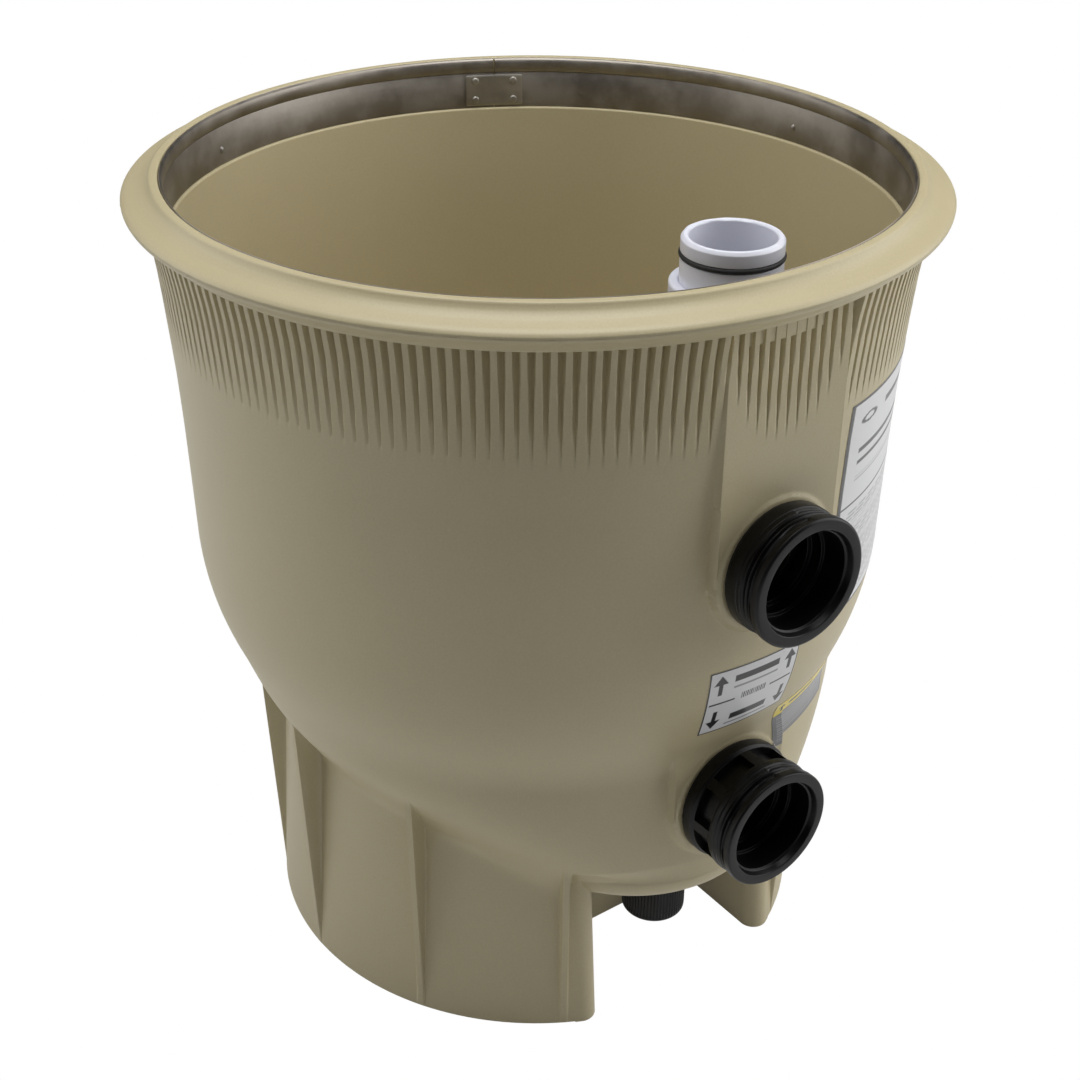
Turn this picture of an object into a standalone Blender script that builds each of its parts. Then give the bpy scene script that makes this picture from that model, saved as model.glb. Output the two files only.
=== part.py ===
"""Lower tank half of a grid pool filter, with its ports, drain and backup ring.

Metres, +Z up. The origin is on the tank's axis at floor level, and the ports point along -Y.
"""
from math import cos, pi, radians, sin, sqrt

import bmesh
import bpy

# Driving dimensions: the tank
TANK_HEIGHT = 0.619
FLANGE_RADIUS = 0.289
WALL = 0.0065
LIP_RADIUS = 0.2683
RECESS_RADIUS = 0.2634
RECESS_DEPTH = 0.0415
COLLAR_RADIUS = 0.2670
BARREL_RADIUS = 0.2645
BARREL_TOP = 0.489
SPRING_RADIUS = 0.2605
SPRING_HEIGHT = 0.354
DOME_DEPTH = 0.238
BULGE_DEPTH = 0.282
BULGE_HALF_ANGLE = radians(31)
BULGE_FADE = 2.2
BULGE_REACH = 0.2360
FLOOR_UNDERSIDE = 0.1165
FLOOR_TOP = 0.1230
ROOM_CLEARS_SKIRT = 0.160
SKIRT_TOP = 0.195
SKIRT_TOP_RADIUS = 0.2045
SKIRT_FOOT_RADIUS = 0.217
RIB_TOP_RADIUS = 0.2255
RIB_TOP_HEIGHT = 0.219
RIB_HALF_ANGLE = radians(0.9)
RIB_PITCH = radians(30)
COLUMNS_BETWEEN_RIBS = (0.9, 2.4, 10.8, 19.2, 27.6, 29.1)

# Driving dimensions: the arch under the tank
ARCH_HALF_WIDTH = 0.078
ARCH_HEIGHT = 0.129
ARCH_CORNER = 0.012
JAMB_THICKNESS = 0.006
POCKET_BACK = 0.108

# Driving dimensions: the sump, a round pocket that stands forward under the inlet
SUMP_OFFSET = 0.125
SUMP_RADIUS = 0.112
SUMP_BOTTOM = 0.1135
SUMP_EDGE = 0.025
SUMP_TOP = 0.262

# Driving dimensions: the ports, measured outward from the tank's axis
OUTLET_HEIGHT = 0.4155
INLET_HEIGHT = 0.2085
OUTLET_PAD = 0.2645
INLET_PAD = 0.2375
BOSS_PROUD = 0.0015
BOSS_RADIUS = 0.0488
PAD_HALF_WIDTH = 0.0515
PORT_HOLE_RADIUS = 0.0340
OUTLET_FACE = 0.2985
INLET_FACE = 0.2900
PORT_RADIUS = 0.0460
THREAD_ROOT_RADIUS = 0.0438
THREAD_PITCH = 0.0036
TAIL_RADIUS = 0.0330
TAIL_BORE_RADIUS = 0.0285
SPACER_DEPTH = 0.0155
NUT_THICKNESS = 0.0080

# Driving dimensions: the drain
DRAIN_OFFSET = 0.161
DRAIN_HOLE_RADIUS = 0.0195
CAP_RADIUS = 0.0249
CAP_PITCH = 0.0042
CAP_BOTTOM = 0.0472
CAP_HEIGHT = 0.044

# Driving dimensions: the outlet elbow and its stub
STUB_OFFSET = 0.2050
STUB_RADIUS = 0.0326
STUB_TOP = 0.6225
ELBOW_RADIUS = 0.0305
HUB_RADIUS = 0.0390
HUB_TOP = 0.5925

# Driving dimensions: the backup ring
BAND_THICKNESS = 0.0012
BAND_RADIUS = RECESS_RADIUS - 0.0014
BAND_BOTTOM = TANK_HEIGHT - 0.0407
SPLICE_ANGLE = radians(152.3)
RING_GAP = 0.0012

GAP = 0.0003
ROUND = 40
MERGE = 0.00001


def clear_scene():
    for thing in list(bpy.data.objects):
        bpy.data.objects.remove(thing, do_unlink=True)


def material(name, colour, roughness, metallic=0.0):
    """A named Principled finish, made once."""
    if name in bpy.data.materials:
        return bpy.data.materials[name]
    made = bpy.data.materials.new(name)
    made.use_nodes = True
    shader = made.node_tree.nodes["Principled BSDF"]
    shader.inputs["Base Color"].default_value = (*colour, 1.0)
    shader.inputs["Roughness"].default_value = roughness
    shader.inputs["Metallic"].default_value = metallic
    return made


def beige_plastic():
    return material("beige_plastic", (0.52, 0.47, 0.34), 0.45)


def black_plastic():
    return material("black_plastic", (0.018, 0.017, 0.017), 0.42)


def white_plastic():
    return material("white_plastic", (0.80, 0.79, 0.86), 0.30)


def black_rubber():
    return material("black_rubber", (0.012, 0.012, 0.012), 0.60)


def steel():
    return material("steel", (0.55, 0.53, 0.50), 0.32, 1.0)


def label_film():
    return material("label_film", (0.78, 0.79, 0.80), 0.40)


def add_object(name, bm, finish):
    """Turn a bmesh into a named object with smooth round sides and sharp corners."""
    bmesh.ops.remove_doubles(bm, verts=bm.verts, dist=MERGE)
    bmesh.ops.recalc_face_normals(bm, faces=bm.faces)
    mesh = bpy.data.meshes.new(name)
    bm.to_mesh(mesh)
    bm.free()
    mesh.shade_smooth()
    mesh.set_sharp_from_angle(angle=radians(30))
    made = bpy.data.objects.new(name, mesh)
    made.data.materials.append(finish)
    bpy.context.scene.collection.objects.link(made)
    return made


def turned(name, profile, finish, steps=ROUND):
    """Spin a closed outline of (radius, height) points about the local Z axis."""
    bm = bmesh.new()
    points = [bm.verts.new((radius, 0.0, height)) for radius, height in profile]
    pairs = zip(points, points[1:] + points[:1])
    edges = [bm.edges.new((a, b)) for a, b in pairs if max(a.co.x, b.co.x) > MERGE]
    bmesh.ops.spin(bm, geom=points + edges, cent=(0, 0, 0), axis=(0, 0, 1),
                   angle=2 * pi, steps=steps, use_merge=True)
    bmesh.ops.remove_doubles(bm, verts=bm.verts, dist=MERGE)
    return add_object(name, bm, finish)


def bar(name, low, high, finish):
    """A box from its lowest to its highest corner."""
    bm = bmesh.new()
    bmesh.ops.create_cube(bm, size=1.0)
    size = [b - a for a, b in zip(low, high)]
    middle = [(a + b) / 2 for a, b in zip(low, high)]
    bmesh.ops.scale(bm, vec=size, verts=bm.verts)
    bmesh.ops.translate(bm, vec=middle, verts=bm.verts)
    return add_object(name, bm, finish)


def prism(name, outline, start, end, finish):
    """Extrude a closed outline of (x, z) points along Y."""
    bm = bmesh.new()
    face = bm.faces.new([bm.verts.new((x, start, z)) for x, z in outline])
    grown = bmesh.ops.extrude_face_region(bm, geom=[face])
    moved = [item for item in grown["geom"] if isinstance(item, bmesh.types.BMVert)]
    bmesh.ops.translate(bm, vec=(0, end - start, 0), verts=moved)
    return add_object(name, bm, finish)


def arc(centre, radius, first, last, steps):
    """Points on an arc, with its angles in degrees."""
    turns = [radians(first + (last - first) * i / steps) for i in range(steps + 1)]
    return [(centre[0] + radius * cos(t), centre[1] + radius * sin(t)) for t in turns]


def combine(target, tool, operation):
    """Join or cut a piece with a helper shape, then drop the helper."""
    modifier = target.modifiers.new(operation, "BOOLEAN")
    modifier.operation = operation
    modifier.solver = "EXACT"
    modifier.object = tool
    view = bpy.context.evaluated_depsgraph_get()
    shape = bpy.data.meshes.new_from_object(target.evaluated_get(view))
    bm = bmesh.new()
    bm.from_mesh(shape)
    bmesh.ops.remove_doubles(bm, verts=bm.verts, dist=MERGE / 2)
    bmesh.ops.dissolve_degenerate(bm, edges=bm.edges, dist=MERGE / 2)
    bm.to_mesh(shape)
    bm.free()
    target.modifiers.clear()
    spare = target.data
    target.data = shape
    bpy.data.meshes.remove(spare)
    bpy.data.objects.remove(tool, do_unlink=True)


def face_port(piece, height):
    """Lay a turned piece along the port's axis: its local Z runs outward, towards -Y."""
    piece.rotation_euler = (pi / 2, 0, 0)
    piece.location = (0, 0, height)
    return piece


def settle(piece):
    """Move a piece's place into its mesh, so that it can be joined or cut."""
    bpy.context.view_layer.update()
    piece.data.transform(piece.matrix_world)
    piece.matrix_world.identity()
    return piece


# The tank's one moulding

def dome_depth(angle):
    """How far the dome falls below its spring line: most above the ports, least at the back."""
    turn = abs((angle + pi) % (2 * pi) - pi)
    return DOME_DEPTH + BULGE_DEPTH / (1 + (turn / BULGE_HALF_ANGLE) ** BULGE_FADE)


def dome_radius(height, angle=pi, inset=0.0):
    """The dome's half width, on its outside or a wall's thickness in. Forward it bulges over the sump."""
    fall = SPRING_HEIGHT - height
    plain = fall / (DOME_DEPTH - inset)
    deep = fall / (dome_depth(angle) - inset)
    reach = SPRING_RADIUS - inset
    bulge = min(reach * sqrt(max(0.0, 1 - deep * deep)), BULGE_REACH - inset)
    return max(reach * sqrt(max(0.0, 1 - plain * plain)), bulge)


def dome_height(radius, angle):
    """Height of the dome's underside at a distance from the axis."""
    return max(FLOOR_UNDERSIDE, SPRING_HEIGHT - dome_depth(angle) * sqrt(1 - (radius / SPRING_RADIUS) ** 2))


def room_radius(height, angle):
    """Inside radius of the dome, kept a wall's thickness inside the skirt."""
    radius = dome_radius(height, angle, WALL)
    return min(radius, skirt_radius(height) - WALL) if height < ROOM_CLEARS_SKIRT else radius


def skirt_radius(height):
    """The skirt flares from the dome down to its foot."""
    part = min(1.0, height / SKIRT_TOP)
    return SKIRT_FOOT_RADIUS + (SKIRT_TOP_RADIUS - SKIRT_FOOT_RADIUS) * part


def flange_outline():
    """The clamp flange and collar, from the recess's edge over the lip and down."""
    top = TANK_HEIGHT
    return [
        (RECESS_RADIUS, top - 0.001),
        (RECESS_RADIUS + 0.001, top),
        (LIP_RADIUS - 0.0005, top),
        (LIP_RADIUS, top - 0.0010),
        (LIP_RADIUS + 0.0022, top - 0.0032),
        (LIP_RADIUS + 0.0070, top - 0.0040),
        (FLANGE_RADIUS - 0.0040, top - 0.0098),
        (FLANGE_RADIUS - 0.0008, top - 0.0125),
        (FLANGE_RADIUS, top - 0.0146),
        (FLANGE_RADIUS - 0.0012, top - 0.0166),
        (FLANGE_RADIUS - 0.0090, top - 0.0225),
        (FLANGE_RADIUS - 0.0138, top - 0.0272),
        (FLANGE_RADIUS - 0.0150, top - 0.0300),
        (FLANGE_RADIUS - 0.0195, top - 0.0420),
        (COLLAR_RADIUS, top - 0.1000),
        (BARREL_RADIUS, BARREL_TOP),
        (0.2620, top - 0.2000),
    ]


def tank_section(angle, at_rib):
    """Half section of the tank in one direction, as (radius, height) rows, outside then inside."""
    outside = flange_outline()
    for height in (SPRING_HEIGHT, 0.315, 0.290, 0.268):
        outside.append((dome_radius(height, angle), height))
    for height in (0.253, 0.232, 0.213, SKIRT_TOP, 0.175, 0.157, 0.141, 0.110, 0.0):
        radius = dome_radius(height, angle) if height > 0.130 else 0.0
        skirt = rib_radius(height) if at_rib else skirt_radius(height)
        outside.append((max(radius, skirt), height))
    meeting = dome_height(SKIRT_TOP_RADIUS - WALL, angle)
    under = [(skirt_radius(h) - WALL, h) for h in (0.0, meeting * 0.6, meeting)]
    under += [(radius, dome_height(radius, angle)) for radius in (0.165, 0.125, 0.080, 0.040)]
    under.append((0.0, FLOOR_UNDERSIDE))
    inside = [(0.0, FLOOR_TOP)] + [(radius, height) for height, radius in room_rows(angle)]
    ledge = TANK_HEIGHT - RECESS_DEPTH
    inside += [(0.2560, 0.450), (0.2590, ledge - 0.001), (RECESS_RADIUS, ledge)]
    return outside + under + inside


def room_rows(angle):
    """The room's (height, radius) rows, from just above its floor up to the spring line."""
    heights = (0.130, 0.143, 0.160, 0.180, 0.205, 0.235, 0.270, 0.310, SPRING_HEIGHT)
    rows = [(height, room_radius(height, angle)) for height in heights]
    return [(0.1240, rows[0][1] * 0.5)] + rows


def rib_radius(height):
    """The gusset ribs run straight from the dome down to the skirt's foot."""
    part = height / RIB_TOP_HEIGHT
    return SKIRT_FOOT_RADIUS + (RIB_TOP_RADIUS - SKIRT_FOOT_RADIUS) * part


def join_sections(name, sections):
    """Joins half sections all round the axis. Rows of no radius meet at one point."""
    bm = bmesh.new()
    rings = []
    for row in range(len(sections[0][1])):
        if sections[0][1][row][0] < MERGE:
            rings.append([bm.verts.new((0, 0, sections[0][1][row][1]))])
            continue
        places = [(angle, *section[row]) for angle, section in sections]
        rings.append([bm.verts.new((r * sin(a), -r * cos(a), h)) for a, r, h in places])
    for upper, lower in zip(rings, rings[1:] + rings[:1]):
        if len(upper) == 1 and len(lower) == 1:
            continue
        for i in range(len(sections)):
            j = (i + 1) % len(sections)
            if len(upper) == 1:
                bm.faces.new((upper[0], lower[i], lower[j]))
            elif len(lower) == 1:
                bm.faces.new((upper[i], lower[0], upper[j]))
            else:
                bm.faces.new((upper[i], lower[i], lower[j], upper[j]))
    return add_object(name, bm, beige_plastic())


def tank_body():
    """The shell, with its bulge over the sump. On the skirt, the columns at a rib stand out."""
    sections = []
    for step in range(12):
        for column in COLUMNS_BETWEEN_RIBS:
            angle = radians(column) + RIB_PITCH * step
            off = abs((angle + RIB_PITCH / 2) % RIB_PITCH - RIB_PITCH / 2)
            forward = min(angle, 2 * pi - angle) < RIB_PITCH / 2
            sections.append((angle, tank_section(angle, off < RIB_HALF_ANGLE * 1.1 and not forward)))
    return join_sections("tank_shell", sections)


def port_pad(face, height, top, depth):
    """A flat vertical pad with a round lower end, from its face inward by depth."""
    outline = [(PAD_HALF_WIDTH, top), (-PAD_HALF_WIDTH, top)]
    outline += arc((0, height), PAD_HALF_WIDTH, 180, 360, 20)
    return prism("pad", outline, -face, depth - face, beige_plastic())


def port_cylinder(radius, outer, inner, height, steps=50):
    """A plain round bar along a port's axis."""
    profile = [(0, inner), (radius, inner), (radius, outer), (0, outer)]
    return settle(face_port(turned("bar", profile, beige_plastic(), steps), height))


def drain_cylinder(radius, low, high):
    profile = [(0, low), (radius, low), (radius, high), (0, high)]
    made = turned("bar", profile, beige_plastic(), 40)
    made.location = (0, -DRAIN_OFFSET, 0)
    return settle(made)


def arch_outline():
    """The opening's shape seen from the ports' side, with round upper corners."""
    side, top, corner = ARCH_HALF_WIDTH, ARCH_HEIGHT, ARCH_CORNER
    outline = [(-side, -0.01), (side, -0.01)]
    outline += arc((side - corner, top - corner), corner, 0, 90, 5)
    outline += arc((corner - side, top - corner), corner, 90, 180, 5)
    return outline


def pocket_walls():
    """The drain pocket's two sides and its back, from the floor up into the sump's wall."""
    side, back, top = ARCH_HALF_WIDTH, POCKET_BACK, SUMP_BOTTOM + 0.004
    outer = side + JAMB_THICKNESS
    walls = bar("walls", (-outer, -0.2000, 0.0), (outer, JAMB_THICKNESS - back, top), beige_plastic())
    space = bar("space", (-side, -0.3000, -0.1), (side, -back, 0.2), beige_plastic())
    combine(walls, space, "DIFFERENCE")
    return walls


def sump_pocket(inset):
    """A round pocket with a rolled bottom edge, solid or as the space inside its wall."""
    radius, edge = SUMP_RADIUS - inset, SUMP_EDGE - inset
    bottom = SUMP_BOTTOM + inset
    profile = [(0, bottom)] + arc((radius - edge, bottom + edge), edge, -90, 0, 5)
    profile += [(radius, SUMP_TOP + inset), (0, SUMP_TOP + inset)]
    made = turned("pocket", profile, beige_plastic(), 60)
    made.location = (0, -SUMP_OFFSET, 0)
    return settle(made)


def dome_space():
    """The air inside the tank up to its straight wall."""
    sections = []
    for step in range(72):
        angle = radians(5 * step + 1.3)
        rows = [(0.0, FLOOR_TOP)] + [(r, h) for h, r in room_rows(angle)]
        top = SPRING_HEIGHT + 0.08
        sections.append((angle, rows + [(SPRING_RADIUS - WALL, top), (0.0, top)]))
    return join_sections("space", sections)


def tank_shell():
    shell = tank_body()
    combine(shell, prism("arch", arch_outline(), -0.30, -0.150, beige_plastic()), "DIFFERENCE")
    combine(shell, pocket_walls(), "UNION")
    sump = sump_pocket(0.0)
    combine(sump, port_pad(INLET_PAD, INLET_HEIGHT, 0.262, 0.020), "UNION")
    combine(sump, dome_space(), "DIFFERENCE")
    combine(shell, sump, "UNION")
    combine(shell, port_pad(OUTLET_PAD, OUTLET_HEIGHT, TANK_HEIGHT - 0.0425, 0.0075), "UNION")
    for pad, height in ((OUTLET_PAD, OUTLET_HEIGHT), (INLET_PAD, INLET_HEIGHT)):
        boss = port_cylinder(BOSS_RADIUS, pad + BOSS_PROUD, pad - 0.004, height)
        combine(shell, boss, "UNION")
    combine(shell, sump_pocket(WALL), "DIFFERENCE")
    combine(shell, drain_cylinder(DRAIN_HOLE_RADIUS, 0.080, 0.200), "DIFFERENCE")
    for height, inner in ((OUTLET_HEIGHT, 0.240), (INLET_HEIGHT, 0.200)):
        hole = port_cylinder(PORT_HOLE_RADIUS, 0.300, inner, height, 44)
        combine(shell, hole, "DIFFERENCE")
    return shell


# The stainless backup ring

def backup_ring():
    """A band with a rolled bead at its top, bent into a circle with its ends a gap apart."""
    top = TANK_HEIGHT - 0.0004
    outer, inner = BAND_RADIUS, BAND_RADIUS - BAND_THICKNESS
    bead_depth = 0.0115
    bead = [(inner - 0.0016 * sin(pi * i / 4), top - bead_depth * (1 - i / 4)) for i in range(1, 4)]
    profile = [(outer, BAND_BOTTOM), (inner, BAND_BOTTOM), (inner, top - bead_depth)]
    profile += bead + [(inner, top), (outer, top)]
    ring = turned("backup_ring", profile, steel(), 84)
    low = (-RING_GAP / 2, -0.30, 0.50)
    slot = bar("slot", low, (RING_GAP / 2, -0.20, 0.70), steel())
    slot.rotation_euler = (0, 0, SPLICE_ANGLE)
    combine(ring, settle(slot), "DIFFERENCE")
    return ring


PLATE_HALF_ANGLE = radians(5.3)
PLATE_HEIGHT = 0.026
PLATE_MIDDLE = TANK_HEIGHT - 0.0265
PLATE_THICKNESS = 0.0010


def curved_plate(name, radius, thickness, middle_angle, half_angle, low, high, finish, steps):
    """A thin plate bent round the tank's axis. Negative thickness builds it inward."""
    bm = bmesh.new()
    rings = []
    for step in range(steps + 1):
        angle = middle_angle - half_angle + 2 * half_angle * step / steps
        corners = [(radius, low), (radius + thickness, low),
                   (radius + thickness, high), (radius, high)]
        rings.append([bm.verts.new((r * sin(angle), -r * cos(angle), z)) for r, z in corners])
    for one, two in zip(rings, rings[1:]):
        for i in range(4):
            bm.faces.new((one[i], one[(i + 1) % 4], two[(i + 1) % 4], two[i]))
    bm.faces.new(rings[0])
    bm.faces.new(rings[-1])
    return add_object(name, bm, finish)


def splice_plate():
    radius = BAND_RADIUS - BAND_THICKNESS - GAP
    low = PLATE_MIDDLE - PLATE_HEIGHT / 2
    return curved_plate("splice_plate", radius, -PLATE_THICKNESS, SPLICE_ANGLE,
                        PLATE_HALF_ANGLE, low, low + PLATE_HEIGHT, steel(), 8)


def splice_rivet(number, side, row):
    """A low domed rivet head on the splice plate."""
    radius = 0.0032
    height = 0.0011
    dome = [(radius * cos(radians(a)), height * sin(radians(a))) for a in range(0, 90, 18)]
    rivet = turned(f"splice_rivet_{number}", [(0, 0)] + dome + [(0, height)], steel(), 20)
    angle = SPLICE_ANGLE + side * PLATE_HALF_ANGLE * 0.66
    seat = BAND_RADIUS - BAND_THICKNESS - PLATE_THICKNESS - 3 * GAP
    rivet.location = (seat * sin(angle), -seat * cos(angle), PLATE_MIDDLE + row * PLATE_HEIGHT * 0.3)
    rivet.rotation_euler = (-pi / 2, 0, angle)
    return rivet


# The two threaded ports

def thread_outline(inner_end, outer_end, turns):
    """Buttress ridges between two places on a port, from the outer end inward."""
    points = []
    for turn in range(turns):
        start = outer_end - turn * THREAD_PITCH
        points += [(PORT_RADIUS, start), (THREAD_ROOT_RADIUS, start - 0.0005),
                   (THREAD_ROOT_RADIUS, start - 0.0014), (PORT_RADIUS, start - 0.0026)]
    return points + [(PORT_RADIUS, inner_end)]


def mouth_outline(face):
    """The stepped bore behind a port's mouth, from the shoulder out to the rim's edge."""
    return [
        (TAIL_BORE_RADIUS, face - 0.0330),
        (0.0325, face - 0.0330),
        (0.0325, face - 0.0240),
        (0.0352, face - 0.0240),
        (0.0352, face - 0.0050),
        (0.0366, face - 0.0044),
        (0.0382, face),
        (PORT_RADIUS - 0.0015, face),
        (PORT_RADIUS, face - 0.0015),
    ]


def outlet_bulkhead():
    seat = OUTLET_PAD + BOSS_PROUD + 0.0020 + 2 * GAP
    end = 0.2375
    outline = [(TAIL_BORE_RADIUS, end)] + mouth_outline(OUTLET_FACE)
    outline += thread_outline(seat, OUTLET_FACE - 0.0075, 3)
    outline += [(TAIL_RADIUS, seat), (TAIL_RADIUS, end)]
    return face_port(turned("outlet_bulkhead", outline, black_plastic()), OUTLET_HEIGHT)


WEB_START = 0.0085
WEB_END = 0.0260
WEB_COUNT = 8
WEB_INNER_RADIUS = 0.0375


def inlet_bulkhead():
    """Like the outlet's, but longer, with windows between webs behind its collar."""
    seat = INLET_PAD + BOSS_PROUD + 0.0020 + 2 * GAP
    end = 0.1980
    outline = [(TAIL_BORE_RADIUS, end)] + mouth_outline(INLET_FACE)
    outline += thread_outline(seat, INLET_FACE - 0.0075, 2)
    outline += [(TAIL_RADIUS, seat), (TAIL_RADIUS, end)]
    body = settle(face_port(turned("inlet_bulkhead", outline, black_plastic()), INLET_HEIGHT))
    for number in range(WEB_COUNT):
        first = number * 360 / WEB_COUNT + 5.5
        last = (number + 1) * 360 / WEB_COUNT - 5.5
        window = arc((0, INLET_HEIGHT), WEB_INNER_RADIUS, first, last, 4)
        window += arc((0, INLET_HEIGHT), 0.055, last, first, 4)
        cutter = prism("window", window, -seat - WEB_END, -seat - WEB_START, black_plastic())
        combine(body, cutter, "DIFFERENCE")
    return body


def port_gasket(name, pad, height):
    low = pad + BOSS_PROUD + GAP
    profile = [(0.0343, low), (0.0445, low), (0.0445, low + 0.002), (0.0343, low + 0.002)]
    return face_port(turned(name, profile, black_rubber()), height)


OUTLET_SPACER_BACK = 0.2475
INLET_SPACER_BACK = SUMP_OFFSET + SUMP_RADIUS - WALL - SPACER_DEPTH


def spacer(name, back, wall_radius_inside, wall_offset, height):
    """A ring that is flat for the nut and hollowed to sit on the curved inner wall."""
    front = back + SPACER_DEPTH + 0.004
    profile = [(0.0336, back), (0.0455, back), (0.0455, front), (0.0336, front)]
    made = settle(face_port(turned(name, profile, black_plastic()), height))
    reach = wall_radius_inside - GAP
    wall = [(reach, height - 0.08), (reach + 0.05, height - 0.08),
            (reach + 0.05, height + 0.08), (reach, height + 0.08)]
    curved = turned("wall", wall, black_plastic(), 72)
    curved.location = (0, -wall_offset, 0)
    combine(made, settle(curved), "DIFFERENCE")
    return made


def locknut(name, face, height):
    """An eight-sided nut with a round bore, its outer face towards the wall."""
    thickness = NUT_THICKNESS
    nut = turned(name, [(0, face - thickness), (0.0500, face - thickness), (0.0500, face),
                        (0, face)], black_plastic(), 8)
    nut.rotation_euler = (0, 0, pi / 8)
    settle(nut)
    bore = turned("bore", [(0, face - 0.02), (0.0335, face - 0.02), (0.0335, face + 0.01),
                           (0, face + 0.01)], black_plastic(), 48)
    combine(nut, bore, "DIFFERENCE")
    return face_port(nut, height)


# The outlet's elbow and stub inside the tank

SPIGOT_END = 0.2570
SPIGOT_RADIUS = 0.0279
SEAL_PLACE = 0.2490


SOCKET_DEPTH = 0.0275
SOCKET_BOTTOM = HUB_TOP - SOCKET_DEPTH
ELBOW_BORE = 0.0258
STEP_RADIUS = 0.0250
STEP_PLACE = 0.2362
SPIGOT_BORE = 0.0215


def outlet_elbow():
    """A round-ended upright below the hub, open at its top and towards the port."""
    made = []
    sizes = ((ELBOW_RADIUS, SOCKET_BOTTOM - GAP, 34), (ELBOW_BORE, SOCKET_BOTTOM + 0.02, 31))
    for radius, top, columns in sizes:
        bottom = arc((0, OUTLET_HEIGHT), radius, -90, 0, 5)
        bottom[0] = (0, OUTLET_HEIGHT - radius)
        body = turned("outlet_elbow", bottom + [(radius, top), (0, top)], black_plastic(), columns)
        body.location = (0, -STUB_OFFSET, 0)
        made.append(settle(body))
    combine(*made, "DIFFERENCE")
    hole = [(0, STUB_OFFSET), (STEP_RADIUS + GAP, STUB_OFFSET), (STEP_RADIUS + GAP, 0.28), (0, 0.28)]
    combine(made[0], settle(face_port(turned("hole", hole, black_plastic(), 30), OUTLET_HEIGHT)),
            "DIFFERENCE")
    return made[0]


def elbow_hub():
    """The socket on top of the upright, which the stub is welded into."""
    floor = SOCKET_BOTTOM + 0.0030
    outline = [(ELBOW_BORE, SOCKET_BOTTOM), (HUB_RADIUS - 0.0045, SOCKET_BOTTOM),
               (HUB_RADIUS, SOCKET_BOTTOM + 0.0045), (HUB_RADIUS, HUB_TOP - 0.002),
               (HUB_RADIUS - 0.002, HUB_TOP), (STUB_RADIUS + GAP, HUB_TOP),
               (STUB_RADIUS + GAP, floor), (ELBOW_BORE, floor)]
    hub = turned("elbow_hub", outline, white_plastic(), 40)
    hub.location = (0, -STUB_OFFSET, 0)
    return hub


def elbow_spigot():
    """The branch that plugs into the bulkhead, grooved for its seal."""
    groove, half = SPIGOT_RADIUS - 0.0027, 0.0020
    outline = [(SPIGOT_BORE, 0.2320), (STEP_RADIUS, 0.2320),
               (STEP_RADIUS, STEP_PLACE), (SPIGOT_RADIUS, STEP_PLACE),
               (SPIGOT_RADIUS, SEAL_PLACE - half), (groove, SEAL_PLACE - half),
               (groove, SEAL_PLACE + half), (SPIGOT_RADIUS, SEAL_PLACE + half),
               (SPIGOT_RADIUS, SPIGOT_END), (SPIGOT_BORE, SPIGOT_END)]
    return face_port(turned("elbow_spigot", outline, black_plastic(), 34), OUTLET_HEIGHT)


RING_GROOVE = STUB_TOP - 0.0125


def outlet_standpipe():
    """The short stub that the grid manifold plugs onto, with an O-ring groove."""
    low = SOCKET_BOTTOM + 0.0030 + GAP
    groove = 0.0020
    outline = [(0.0275, low), (STUB_RADIUS, low),
               (STUB_RADIUS, RING_GROOVE - groove), (STUB_RADIUS - 0.0027, RING_GROOVE - groove),
               (STUB_RADIUS - 0.0027, RING_GROOVE + groove), (STUB_RADIUS, RING_GROOVE + groove),
               (STUB_RADIUS, STUB_TOP - 0.0022), (STUB_RADIUS - 0.0018, STUB_TOP),
               (0.0287, STUB_TOP), (0.0275, STUB_TOP - 0.001)]
    pipe = turned("outlet_standpipe", outline, white_plastic())
    pipe.location = (0, -STUB_OFFSET, 0)
    return pipe


def o_ring(name, radius, thickness, steps=36):
    section = arc((radius, 0), thickness / 2, 0, 360 - 45, 7)
    return turned(name, section, black_rubber(), steps)


def standpipe_o_ring():
    ring = o_ring("standpipe_o_ring", STUB_RADIUS - 0.0006, 0.0035)
    ring.location = (0, -STUB_OFFSET, RING_GROOVE)
    return ring


def outlet_elbow_seal():
    ring = o_ring("outlet_elbow_seal", 0.0268, 0.0026)
    ring.rotation_euler = (pi / 2, 0, 0)
    ring.location = (0, -SEAL_PLACE, OUTLET_HEIGHT)
    return ring


def inlet_diffuser():
    """A cup over the inlet's tail. Slots round its side spread the incoming water."""
    closed, mouth = 0.1480, 0.2000
    wall = TAIL_RADIUS + GAP
    outline = [(0, closed), (wall + 0.0032, closed), (wall + 0.0032, mouth), (wall, mouth),
               (wall, closed + 0.0030), (0, closed + 0.0030)]
    cup = settle(face_port(turned("inlet_diffuser", outline, white_plastic(), 48), INLET_HEIGHT))
    for number in range(3):
        slot = bar("slot", (-0.05, -0.186, -0.008), (0.05, -0.160, 0.008), white_plastic())
        slot.rotation_euler = (0, radians(60 * number + 30), 0)
        slot.location = (0, 0, INLET_HEIGHT)
        combine(cup, settle(slot), "DIFFERENCE")
    return cup


# The drain

DRAIN_FLANGE_TOP = SUMP_BOTTOM - 0.002 - 2 * GAP


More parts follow.
